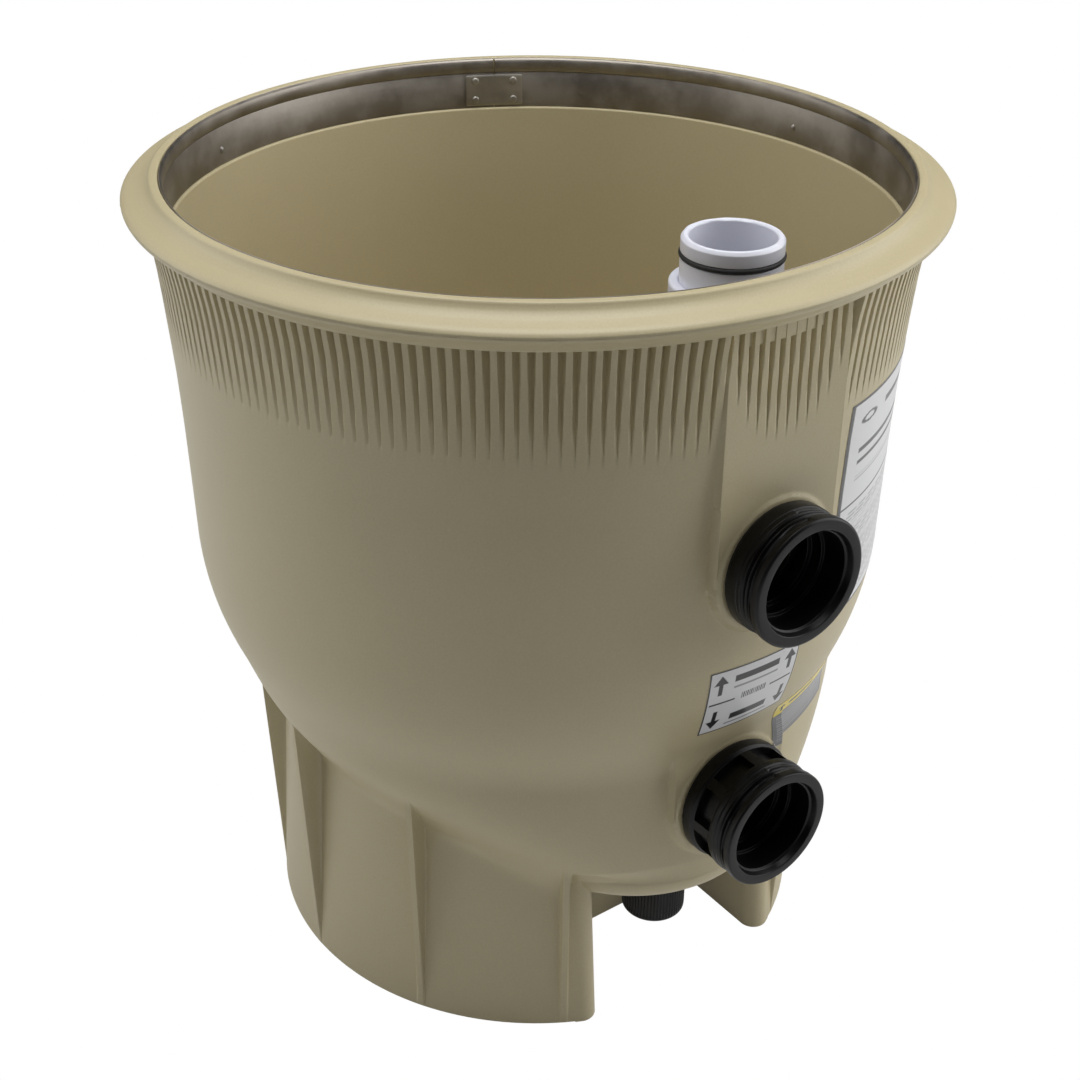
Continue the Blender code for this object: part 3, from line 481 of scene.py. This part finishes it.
# the rest of the wall and dome, and the skirt with its ribs; columns crowd at the ribs
rib_columns = np.array([-2.0, -1.3, -1.1, -1.0, -0.9, -0.8, -0.7, -0.6, -0.4, 0.0,
                        0.4, 0.6, 0.7, 0.8, 0.9, 1.0, 1.1, 1.3, 2.0])
at_ribs = (30 * np.arange(1, 12)[:, None] + rib_columns).ravel()
azimuths = np.concatenate([[arch_edge], at_ribs, [360 - arch_edge]])
between = (30 * np.arange(1, 11)[:, None] + np.arange(4, 28, 2.0)).ravel()
azimuths = np.sort(np.concatenate([azimuths, between]))
heights = np.concatenate([[0, 0.0003, 0.0008, 0.0014], np.linspace(0.006, 0.120, 14),
                          np.linspace(0.123, 0.260, 62), np.linspace(0.264, collar_low, 40)])[:, None]
back_outer = around(azimuths[None], shell_radius(azimuths[None], heights), heights)
skirt_inside = 0.2105 - 0.0125 * heights / 0.195
back_room = larger(room_radius(azimuths[None], heights), skirt_inside, 0.002)
back_inner = around(azimuths[None], back_room, heights)
back = shelled("shell_back", back_outer, back_inner)
finish_piece(back, beige_moulding, "tank", ["tank_shell"], sharp=50)

# the bottom of the dome and bulge, level over the sump and open to it
bowl_turn = np.linspace(0, 360, 180, endpoint=False)
bowl_reach = np.concatenate([[0], np.linspace(0.012, 0.19, 34), [0.194, 0.198, 0.2012]])[:, None]


def bowl_face(inset, lowest):
    """The bottom's lower or upper face: the ellipse for each direction, no lower than the floor."""
    reach = np.minimum(bowl_reach / (0.2605 - inset), 1)
    fall = (dome_depth((bowl_turn[None] + 180) % 360 - 180) - inset) * np.sqrt(1 - reach ** 2)
    height = larger(spring_height - fall, np.full_like(fall, lowest), 0.006)
    return around(bowl_turn[None], bowl_reach, height)


bowl_grid = np.concatenate([bowl_face(0.0, 0.1150), bowl_face(0.0065, 0.1215)[::-1]])
bowl = piece_from("shell_bottom", bowl_grid.reshape(-1, 3), quads(*bowl_grid.shape[:2], ring=True))
sump_room = turned("sump_room", [(0, 0.1205), (0.1055, 0.1205), (0.1055, 0.30), (0, 0.30)],
                   middle=(0, -sump_middle), columns=150)
take_away(bowl, sump_room)
finish_piece(bowl, beige_moulding, "tank", ["tank_shell"], sharp=50)

# the sump's cup: a floor with a rolled edge, and a hole for the drain
roll = np.radians(np.linspace(-90, 0, 14))
cup_line = np.concatenate([
    [(0, sump_low)],
    np.stack([0.087 + sump_roll * np.cos(roll), sump_low + sump_roll + sump_roll * np.sin(roll)], axis=-1),
    [(0.1116, 0.1395), (0.1060, 0.1395)],
    np.stack([0.087 + 0.0188 * np.cos(roll), sump_low + sump_roll + 0.0185 * np.sin(roll)], axis=-1)[::-1],
    [(0, 0.1200)]])
cup = turned("shell_sump", cup_line, middle=(0, -sump_middle), columns=144)
drain_hole = turned("drain_hole", [(0, 0.10), (0.0195, 0.10), (0.0195, 0.13), (0, 0.13)],
                    middle=(0, drain_y), columns=60)
take_away(cup, drain_hole)
finish_piece(cup, beige_moulding, "tank", ["tank_shell"], sharp=50)


def pocket_path(part, height):
    """Plan of the drain pocket's wall: round the skirt to the tangent, round the leg's corner, along the side
    to a small inside corner, and across the back to the middle. Part runs from 0 to 1."""
    skirt = 0.217 - 0.0125 * height / 0.195
    corner = 0.012
    reach = skirt - corner
    centre_y = -np.sqrt(reach ** 2 - 0.090 ** 2)
    tangent = np.arctan2(0.090, -centre_y)
    first = np.radians(arch_edge) + (tangent - np.radians(arch_edge)) * np.clip(part / 0.1, 0, 1)
    bend = tangent + (-np.pi / 2 - tangent) * np.clip((part - 0.1) / 0.3, 0, 1)
    side = np.clip((part - 0.4) / 0.3, 0, 1)
    inside = np.clip((part - 0.7) / 0.1, 0, 1) * np.pi / 2
    rest = np.clip((part - 0.8) / 0.2, 0, 1)
    x = np.select([part < 0.1, part < 0.4, part < 0.7, part < 0.8],
                  [skirt * np.sin(first), 0.090 + corner * np.sin(bend), 0.078 + 0 * bend,
                   0.074 + 0.004 * np.cos(inside)], 0.074 * (1 - rest))
    y = np.select([part < 0.1, part < 0.4, part < 0.7, part < 0.8],
                  [-skirt * np.cos(first), centre_y - corner * np.cos(bend),
                   centre_y + (-0.112 - centre_y) * side, -0.112 + 0.004 * np.sin(inside)], -0.108 + 0 * bend)
    return x, y


half = np.concatenate([np.linspace(0, 0.1, 6)[:-1], np.linspace(0.1, 0.4, 20)[:-1],
                       np.linspace(0.4, 0.7, 14)[:-1], np.linspace(0.7, 0.8, 7)[:-1], np.linspace(0.8, 1, 8)])
part = np.concatenate([half, half[::-1][1:]])
mirror = np.concatenate([np.ones(len(half)), -np.ones(len(half) - 1)])
plan_x, plan_y = pocket_path(part, np.full(len(part), sump_rim))
off_sump = np.hypot(plan_x, plan_y + sump_middle)
tops = sump_rim - np.sqrt(np.clip(0.0217 ** 2 - np.clip(off_sump - 0.087, 0, 1) ** 2, 0, 1))
heights = np.linspace(0, 1, 30)[:, None] * tops[None]
plan_x, plan_y = pocket_path(np.broadcast_to(part[None], heights.shape), heights)
plan = np.stack([plan_x * mirror, plan_y, heights], axis=-1)
along = np.gradient(plan, axis=1)
along /= np.linalg.norm(along[..., :2], axis=-1, keepdims=True)
inward = np.stack([along[..., 1], -along[..., 0], np.zeros_like(heights)], axis=-1)
pocket = shelled("shell_pocket", plan, plan + inward * 0.0062)
finish_piece(pocket, beige_moulding, "tank", ["tank_shell"], sharp=50)


# The backup ring: a rolled stainless band with a bead along its top, sprung into the flange's recess.
# Its two ends are joined by a small plate and four rivets, and two pressed tangs hold it.

band_radius, band_inner = 0.2620, 0.2608
splice = 152.3


def steel_paint(name, base, streaks, roughness):
    """Rolled stainless steel: dark, with fine lines along the rolling and dull water marks in places."""
    paint = bpy.data.materials.new(name)
    paint.use_nodes = True
    tree = paint.node_tree
    shader = tree.nodes["Principled BSDF"]
    shader.inputs["Metallic"].default_value = 1.0
    place = tree.nodes.new("ShaderNodeTexCoord")
    stretch = tree.nodes.new("ShaderNodeMapping")
    stretch.inputs["Scale"].default_value = (6, 6, 900)
    lines = add_node(tree, "ShaderNodeTexNoise", Scale=1.0, Detail=4.0, Roughness=0.6)
    marks = add_node(tree, "ShaderNodeTexNoise", Scale=26.0, Detail=5.0, Roughness=0.62)
    tree.links.new(place.outputs["Object"], stretch.inputs["Vector"])
    tree.links.new(stretch.outputs["Vector"], lines.inputs["Vector"])
    tree.links.new(place.outputs["Object"], marks.inputs["Vector"])
    tones = tree.nodes.new("ShaderNodeValToRGB")
    tones.color_ramp.elements[0].position, tones.color_ramp.elements[1].position = 0.42, 0.66
    tones.color_ramp.elements[0].color, tones.color_ramp.elements[1].color = (*base, 1), (*streaks, 1)
    tree.links.new(marks.outputs["Fac"], tones.inputs["Fac"])
    tree.links.new(tones.outputs["Color"], shader.inputs["Base Color"])
    dull = add_node(tree, "ShaderNodeMapRange", From_Min=0.35, From_Max=0.7,
                    To_Min=roughness, To_Max=roughness + 0.22)
    tree.links.new(marks.outputs["Fac"], dull.inputs["Value"])
    tree.links.new(dull.outputs["Result"], shader.inputs["Roughness"])
    relief = add_node(tree, "ShaderNodeBump", Strength=0.25, Distance=0.0002)
    tree.links.new(lines.outputs["Fac"], relief.inputs["Height"])
    tree.links.new(relief.outputs["Normal"], shader.inputs["Normal"])
    return paint


rolled_steel = steel_paint("rolled_steel", (0.27, 0.245, 0.215), (0.38, 0.35, 0.31), 0.38)
plate_steel = steel_paint("plate_steel", (0.36, 0.34, 0.31), (0.50, 0.475, 0.43), 0.42)

bead = np.radians(np.linspace(-90, 90, 11))
band_line = np.concatenate([
    [(band_radius, 0.5783), (band_inner, 0.5783), (band_inner, 0.6062)],
    np.stack([band_inner + 0.0004 - 0.0020 * np.cos(bead), 0.6124 + 0.0056 * np.sin(bead)], axis=-1),
    [(band_radius - 0.0006, 0.6186), (band_radius, 0.6180)]])
turns = np.linspace(splice + 0.15, splice + 359.85, 721)
band_points = around(turns[None], band_line[:, :1], band_line[:, 1:])
rows = len(band_line)
ends = [np.array([[0, k, k + 1, k + 2]]) for k in range(1, rows - 2, 2)]
cap_faces = np.concatenate(ends)
start_cap, end_cap = cap_faces * 721, cap_faces * 721 + 720
band = piece_from("backup_band", band_points.reshape(-1, 3),
                  np.concatenate([quads(rows, 721, tube=True), start_cap, end_cap]))
finish_piece(band, rolled_steel, "tank", ["backup_ring"], sharp=50)

plate_middle = 0.5925
plate_side, plate_up = np.meshgrid(np.linspace(-1, 1, 41), np.linspace(-1, 1, 21))
rounding = np.clip(np.hypot(np.clip(np.abs(plate_side) * 0.024 - 0.021, 0, 1),
                            np.clip(np.abs(plate_up) * 0.013 - 0.010, 0, 1)) - 0.0024, 0, 1)
plate_angle = splice + plate_side * 5.3 * (1 - rounding * 20)
plate_height = plate_middle + plate_up * 0.013 * (1 - rounding * 20)
edge = np.clip(np.maximum(np.abs(plate_side) - 0.96, np.abs(plate_up) - 0.93) / 0.07, 0, 1)
plate = shelled("splice_plate_pressed", around(plate_angle, band_inner - 0.0002 + 0 * edge, plate_height),
                around(plate_angle, band_inner - 0.0012 + 0.0006 * edge ** 2, plate_height))
finish_piece(plate, plate_steel, "tank", ["splice_plate"])


def on_ring(outline, azimuth, radius, height, columns=28, stretch=1.0):
    """A turned form whose axis points from the ring at that azimuth towards the tank's axis."""
    outline = np.asarray(outline, dtype=float)
    angle = np.linspace(0, 2 * np.pi, columns, endpoint=False)
    side = outline[:, :1] * np.sin(angle)
    up = outline[:, :1] * np.cos(angle) * stretch
    out = radius - np.repeat(outline[:, 1:], columns, axis=1)
    turn = np.radians(azimuth)
    points = np.stack([out * np.sin(turn) + side * np.cos(turn),
                       -out * np.cos(turn) + side * np.sin(turn), height + up], axis=-1)
    return points.reshape(-1, 3), quads(len(outline), columns, ring=True)


number = 0
for side in (-1, 1):
    for row in (-1, 1):
        number += 1
        head = rounded([(0, -0.0006), (0.0030, -0.0006), (0.0032, 0.0003), (0.0022, 0.0011), (0, 0.0012)],
                       0.0006, open_ends=True)
        seat = on_ring(head, splice + side * 3.5, band_inner - 0.0012, plate_middle + row * 0.0078)
        dome = piece_from(f"rivet_head_{number}", *seat)
        finish_piece(dome, plate_steel, "tank", [f"splice_rivet_{number}"])

for number, azimuth in enumerate((93.5, -148.7), 1):
    tang = rounded([(0, -0.0008), (0.0024, -0.0008), (0.0024, 0.0002), (0.0014, 0.0013), (0, 0.0015)],
                   0.0008, open_ends=True)
    pressed = piece_from(f"ring_tang_{number}", *on_ring(tang, azimuth, band_inner, 0.5890, stretch=1.35))
    finish_piece(pressed, plate_steel, "tank")


# The two bulkheads: black nylon union bodies screwed through the wall, each with a flange, a threaded barrel
# and a stepped mouth. The lower one has eight windows behind its collar.

black_moulding = plastic_paint("black_moulding", (0.0020, 0.0020, 0.0021), (0.0045, 0.0042, 0.0042), 0.34,
                               speckle=0.4, cloud=0.6, fine=420.0, broad=26.0, bump=0.05, shine=0.25)
thread_pitch = 0.0036


def threaded(turns, outer_end, crest):
    """A helical buttress thread cut into the barrel: depth rises sharply then eases over each pitch."""
    def cut_thread(radius, place, angle):
        along = (outer_end - place) / thread_pitch + angle / (2 * np.pi)
        saw = along % 1
        groove = ease(saw, 0.0, 0.14) * (1 - ease(saw, 0.36, 0.80))
        fade = ease(along, 0.0, 0.6) * (1 - ease(along, turns - 0.3, turns + 0.3))
        return radius - 0.0023 * groove * fade * (radius > crest - 0.0006)
    return cut_thread


def mouth_line(face):
    """The stepped bore from the tail out to the rim: (radius, distance from the tank's axis)."""
    return [(0.0285, face - 0.0330), (0.0325, face - 0.0330), (0.0325, face - 0.0240),
            (0.0352, face - 0.0240), (0.0352, face - 0.0052), (0.0366, face - 0.0046),
            (0.0380, face), (0.0448, face)]


def barrel_rows(radius, first, last, step=0.00045):
    """Closely spaced rows along a barrel, so that a thread can be cut into it."""
    places = np.arange(first, last, -step)
    return np.stack([np.full(len(places), radius), places], axis=-1)


outlet_face, inlet_face = 0.2985, 0.2900
outlet_seat = outlet_pad + 0.0040
outline = np.concatenate([
    rounded([(0.0285, 0.2375)] + mouth_line(outlet_face)
            + [(0.0464, outlet_face - 0.0012), (0.0464, outlet_face - 0.0066),
               (0.0452, outlet_face - 0.0078)], 0.0007, open_ends=True),
    barrel_rows(0.0455, outlet_face - 0.0084, outlet_face - 0.0200),
    rounded([(0.0455, outlet_face - 0.0200), (0.0461, outlet_face - 0.0205), (0.0461, outlet_seat),
             (0.033, outlet_seat), (0.033, 0.2375)], 0.0007, open_ends=True)])
outlet_body = turned("outlet_union", outline, columns=180, port=outlet_height,
                     shape=threaded(3.1, outlet_face - 0.0082, 0.0455))
finish_piece(outlet_body, black_moulding, "tank", ["outlet_bulkhead"])

inlet_seat = inlet_pad + 0.0040
outline = np.concatenate([
    rounded([(0.0285, 0.1980)] + mouth_line(inlet_face)
            + [(0.0455, inlet_face - 0.0012), (0.0455, inlet_face - 0.0062),
               (0.0443, inlet_face - 0.0074)], 0.0007, open_ends=True),
    barrel_rows(0.0448, inlet_face - 0.0080, inlet_face - 0.0162),
    rounded([(0.0448, inlet_face - 0.0162), (0.0453, inlet_face - 0.0168), (0.0453, inlet_face - 0.0212),
             (0.0443, inlet_face - 0.0222), (0.0443, inlet_seat + 0.0092), (0.0462, inlet_seat + 0.0080),
             (0.0462, inlet_seat), (0.033, inlet_seat), (0.033, 0.1980)], 0.0007, open_ends=True)])
inlet_body = turned("inlet_union", outline, columns=180, port=inlet_height,
                    shape=threaded(2.1, inlet_face - 0.0078, 0.0448))
window_turn = np.radians(45 * np.arange(8)[:, None] + np.linspace(5.5, 39.5, 12)[None])
inner_edge = np.stack([0.0385 * np.sin(window_turn), 0 * window_turn,
                       inlet_height + 0.0385 * np.cos(window_turn)], -1)
outer_edge = np.stack([0.060 * np.sin(window_turn), 0 * window_turn,
                       inlet_height + 0.060 * np.cos(window_turn)], -1)
near_y, far_y = np.array([0, -(inlet_seat + 0.0100), 0]), np.array([0, -(inlet_seat + 0.0255), 0])
for number in range(8):
    loops = np.stack([inner_edge[number] + near_y, outer_edge[number] + near_y,
                      outer_edge[number] + far_y, inner_edge[number] + far_y])
    caps = np.array([[0, 12, 24, 36], [11, 23, 35, 47]])
    tool = piece_from("window", loops.reshape(-1, 3), np.concatenate([quads(4, 12, tube=True), caps]))
    take_away(inlet_body, tool)
finish_piece(inlet_body, black_moulding, "tank", ["inlet_bulkhead"])


# Seals, spacers, nuts and diffuser behind the ports. The seals are black rubber, the spacers and nuts
# are black nylon, and the diffuser is a white cup that is pushed onto the inlet's tail.

black_rubber = plastic_paint("black_rubber", (0.010, 0.010, 0.010), (0.022, 0.021, 0.021), 0.62,
                             speckle=0.5, cloud=0.5, fine=600.0, broad=40.0, bump=0.08)
white_moulding = plastic_paint("white_moulding", (0.80, 0.81, 0.90), (0.86, 0.87, 0.95), 0.30,
                               speckle=0.25, cloud=0.6, fine=500.0, broad=14.0, bump=0.02)


def carried_over(node, paint):
    """Gives a CAD node its finish."""
    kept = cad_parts[node]
    kept.data.materials.clear()
    kept.data.materials.append(paint)


for node in ("outlet_spacer", "inlet_spacer", "outlet_locknut", "inlet_locknut", "drain_locknut",
             "drain_spigot"):
    carried_over(node, black_moulding)
for node in ("outlet_gasket", "inlet_gasket", "drain_gasket", "drain_cap_washer", "outlet_elbow_seal"):
    carried_over(node, black_rubber)
carried_over("inlet_diffuser", white_moulding)


# The outlet's elbow and stub. The stub and the hub that holds it are white, the elbow below is black.
# The grid manifold plugs onto the stub, and a black ring in a groove near its top seals it.

stub_y = -0.2050
hub_top, stub_top = 0.5925, 0.6222


def welded_rim(radius, place, angle):
    """Roughens the stub's top edge a little on one side, where the gate was cut off."""
    rough = 0.0004 * np.sin(angle * 9 + 1) * np.sin(angle * 4) * np.clip(-np.cos(angle), 0, 1)
    return radius + rough * (place > stub_top - 0.0008)


groove = stub_top - 0.0122
stub_line = rounded([(0.0275, hub_top - 0.0275), (0.0326, hub_top - 0.0275), (0.0326, groove - 0.0019),
                     (0.0300, groove - 0.0019), (0.0300, groove + 0.0019), (0.0326, groove + 0.0019),
                     (0.0326, stub_top - 0.0022), (0.0308, stub_top), (0.0287, stub_top),
                     (0.0276, stub_top - 0.0012)], 0.0006)
stub = turned("outlet_stub", stub_line, middle=(0, stub_y), columns=120, shape=welded_rim)
finish_piece(stub, white_moulding, "tank", ["outlet_standpipe"])
loop = np.radians(np.linspace(0, 360, 17)[:-1])
seal_line = np.stack([0.0318 + 0.0018 * np.cos(loop), groove + 0.0018 * np.sin(loop)], axis=-1)
stub_seal = turned("stub_seal", seal_line, middle=(0, stub_y), columns=120)
finish_piece(stub_seal, black_rubber, "tank", ["standpipe_o_ring"])

hub_line = rounded([(0.0330, hub_top - 0.0273), (0.0306, hub_top - 0.0273), (0.0306, hub_top - 0.0350),
                    (0.0330, hub_top - 0.0390), (0.0390, hub_top - 0.0300), (0.0390, hub_top - 0.0012),
                    (0.0378, hub_top), (0.0332, hub_top), (0.0328, hub_top - 0.0012)], 0.0012)
hub = turned("elbow_hub_ring", hub_line, middle=(0, stub_y), columns=120)
finish_piece(hub, white_moulding, "tank", ["elbow_hub"])

bottom = np.radians(np.linspace(-90, 0, 12))
upright_line = np.concatenate([
    np.stack([0.0305 * np.cos(bottom), outlet_height + 0.0305 * np.sin(bottom)], axis=-1),
    [(0.0305, hub_top - 0.0280), (0.0258, hub_top - 0.0280), (0.0258, outlet_height + 0.02)],
    np.stack([0.0258 * np.cos(bottom), outlet_height + 0.0258 * np.sin(bottom)], axis=-1)[::-1]])
upright_line[0, 0] = upright_line[-1, 0] = 0
upright = turned("elbow_upright", upright_line, middle=(0, stub_y), columns=96)
side_bore = turned("side_bore", [(0, 0.206), (0.0215, 0.206), (0.0215, 0.29), (0, 0.29)],
                   columns=60, port=outlet_height)
take_away(upright, side_bore)
finish_piece(upright, black_moulding, "tank", ["outlet_elbow"])
branch_line = rounded([(0.0215, 0.2335), (0.0279, 0.2335), (0.0279, 0.2470), (0.0252, 0.2470),
                       (0.0252, 0.2510), (0.0279, 0.2510), (0.0279, 0.2570), (0.0215, 0.2570)], 0.0005)
branch = turned("elbow_branch", branch_line, columns=90, port=outlet_height)
finish_piece(branch, black_moulding, "tank", ["elbow_spigot"])


# The drain cap: a deep black cap with a fine grip all round, screwed onto the spigot under the sump.

cap_low, cap_high, cap_radius = 0.0472, 0.0912, 0.0249


def knurled(radius, place, angle):
    """Fine upright grooves all round the side, fading out at the bottom edge and under the rim."""
    groove = (0.5 - 0.5 * np.cos(60 * angle)) ** 0.7
    rim_fade = 1 - ease(place, cap_high - 0.006, cap_high - 0.003)
    fade = ease(place, cap_low + 0.002, cap_low + 0.006) * rim_fade
    return radius - 0.0007 * groove * fade * (radius > 0.0240)


cap_line = np.concatenate([
    rounded([(0, cap_low), (cap_radius - 0.002, cap_low), (cap_radius, cap_low + 0.0022),
             (cap_radius, cap_low + 0.0060)], 0.0022, open_ends=True),
    np.stack([np.full(14, cap_radius), np.linspace(cap_low + 0.007, cap_high - 0.006, 14)], axis=-1),
    rounded([(cap_radius, cap_high - 0.003), (cap_radius, cap_high), (0.0200, cap_high),
             (0.0200, cap_low + 0.005), (0, cap_low + 0.005)], 0.0008, open_ends=True)])
cap = turned("drain_cap_grip", cap_line, middle=(0, drain_y), columns=480, shape=knurled)
finish_piece(cap, black_moulding, "cap", ["drain_cap"])


# The three labels: printed film stuck to the wall. Their print is generic bars, blocks and arrows.

def printed(name, left, right, low, high, print_at, rows, columns, node, skew=0.0):
    """A thin film over the wall between two azimuths and heights. Its colour is worked out at each point
    from how far across and up the label the point is."""
    s, t = np.meshgrid(np.linspace(0, 1, columns), np.linspace(0, 1, rows))
    azimuth = left + (right - left) * s
    height = low + (high - low) * t - skew * (s - 0.5)
    radius = shell_radius(azimuth, height)
    film = shelled(name, around(azimuth, radius + 0.00034, height), around(azimuth, radius + 0.00006, height))
    colour = np.ones((2 * rows, columns, 4))
    colour[:rows, :, :3] = print_at(s, t)
    layer = film.data.color_attributes.new("print", "FLOAT_COLOR", "POINT")
    layer.data.foreach_set("color", colour.ravel())
    finish_piece(film, film_paint, "tank", [node])


film_paint = bpy.data.materials.new("printed_film")
film_paint.use_nodes = True
tree = film_paint.node_tree
film_shader = tree.nodes["Principled BSDF"]
film_shader.inputs["Coat Weight"].default_value = 0.2
ink_layer = tree.nodes.new("ShaderNodeAttribute")
ink_layer.attribute_name = "print"
film_mottle = tree.nodes.new("ShaderNodeGroup")
film_mottle.node_tree = moulded_mottle
film_mottle.inputs["Speckle Scale"].default_value = 300
film_mottle.inputs["Cloud Scale"].default_value = 30
film_rough = add_node(tree, "ShaderNodeMapRange", From_Min=0.2, From_Max=0.8, To_Min=0.30, To_Max=0.46)
film_relief = add_node(tree, "ShaderNodeBump", Strength=0.04, Distance=0.0004)
tree.links.new(ink_layer.outputs["Color"], film_shader.inputs["Base Color"])
tree.links.new(film_mottle.outputs["Tone"], film_rough.inputs["Value"])
tree.links.new(film_rough.outputs["Result"], film_shader.inputs["Roughness"])
tree.links.new(film_mottle.outputs["Height"], film_relief.inputs["Height"])
tree.links.new(film_relief.outputs["Normal"], film_shader.inputs["Normal"])

film_white, film_black = np.array((0.74, 0.74, 0.75)), np.array((0.02, 0.02, 0.02))
film_grey, film_yellow = np.array((0.30, 0.30, 0.31)), np.array((0.80, 0.62, 0.03))


def block(s, t, left, right, low, high):
    """1 inside a box on the label, 0 outside."""
    return ((s > left) & (s < right) & (t > low) & (t < high)).astype(float)


def arrow(s, t, middle, tip, tail, wide):
    """1 inside an upright arrow from tail to tip: a shaft and a head that widens away from the tip."""
    along = (t - tail) / (tip - tail)
    head = (along > 0.55) & (along < 1) & (np.abs(s - middle) < wide * (1 - along) / 0.45)
    shaft = (along > 0) & (along <= 0.56) & (np.abs(s - middle) < wide * 0.30)
    return (head | shaft).astype(float)


def inked(ground, layers):
    """The ground colour covered by each (mask, colour) in turn."""
    colour = np.broadcast_to(ground, layers[0][0].shape + (3,)).copy()
    for mask, ink in layers:
        colour += (ink - colour) * mask[..., None]
    return colour


def flow_print(s, t):
    """Arrows up for the water going out, arrows down for the water coming in, and plain bars between."""
    border = 1 - block(s, t, 0.012, 0.988, 0.014, 0.986)
    marks = arrow(s, t, 0.12, 0.93, 0.63, 0.075) + arrow(s, t, 0.90, 0.93, 0.63, 0.075)
    marks = marks + arrow(s, t, 0.12, 0.07, 0.37, 0.075) + arrow(s, t, 0.90, 0.07, 0.37, 0.075)
    bars = block(s, t, 0.03, 0.30, 0.49, 0.515) + block(s, t, 0.70, 0.97, 0.49, 0.515)
    bars = bars + block(s, t, 0.26, 0.76, 0.78, 0.88) + block(s, t, 0.30, 0.72, 0.15, 0.25)
    fine = block(s, t, 0.26, 0.76, 0.68, 0.715) + block(s, t, 0.26, 0.76, 0.07, 0.10)
    stripes = block(s, t, 0.37, 0.65, 0.47, 0.56) * ((s * 46 % 1) < 0.55)
    return inked(film_white, [(np.clip(border + marks + bars + stripes, 0, 1), film_black),
                              (np.clip(fine, 0, 1), film_grey)])


def rating_print(s, t):
    """A dark border and divider, an empty roundel and broad bars above, and rows of fine grey lines below."""
    border = 1 - block(s, t, 0.018, 0.982, 0.010, 0.990)
    divider = block(s, t, 0, 1, 0.525, 0.533)
    off_middle = np.hypot((s - 0.12) * 0.43, t - 0.90)
    roundel = (off_middle < 0.022) & (off_middle > 0.013)
    bars = (block(s, t, 0.24, 0.86, 0.885, 0.915) + block(s, t, 0.08, 0.70, 0.755, 0.775)
            + block(s, t, 0.08, 0.78, 0.705, 0.722))
    gaps = np.sin(s * 90 + np.floor(t * 62) * 5) > -0.86
    words = block(s, t, 0.06, 0.95, 0.05, 0.49) * ((t * 62 % 1) < 0.42) * gaps
    small = block(s, t, 0.08, 0.80, 0.62, 0.66) * ((t * 62 % 1) < 0.45)
    return inked(film_white, [(np.clip(border + divider, 0, 1), film_black * 2),
                              (np.clip(bars + roundel, 0, 1), film_black * 3),
                              (np.clip(words * 0.75 + small * 0.6, 0, 1), film_grey)])


def caution_print(s, t):
    """A yellow heading over a grey body with fine pale lines."""
    heading = block(s, t, -1, 2, 0.70, 2)
    mark = arrow(s, t, 0.10, 0.92, 0.76, 0.05) + block(s, t, 0.20, 0.60, 0.80, 0.88)
    words = block(s, t, 0.05, 0.95, 0.06, 0.64) * ((t * 24 % 1) < 0.40)
    return inked(film_grey * 0.62, [(heading, film_yellow), (np.clip(mark, 0, 1), film_black),
                                    (words * 0.55, film_white * 0.8)])


printed("flow_film", -9.3, 8.6, 0.2790, 0.3375, flow_print, 160, 210, "flow_label", skew=0.002)
printed("rating_film", 14.6, 68.0, 0.3330, 0.5060, rating_print, 240, 200, "rating_label")
printed("caution_film", 9.6, 31.0, 0.2300, 0.2680, caution_print, 110, 200, "caution_label")
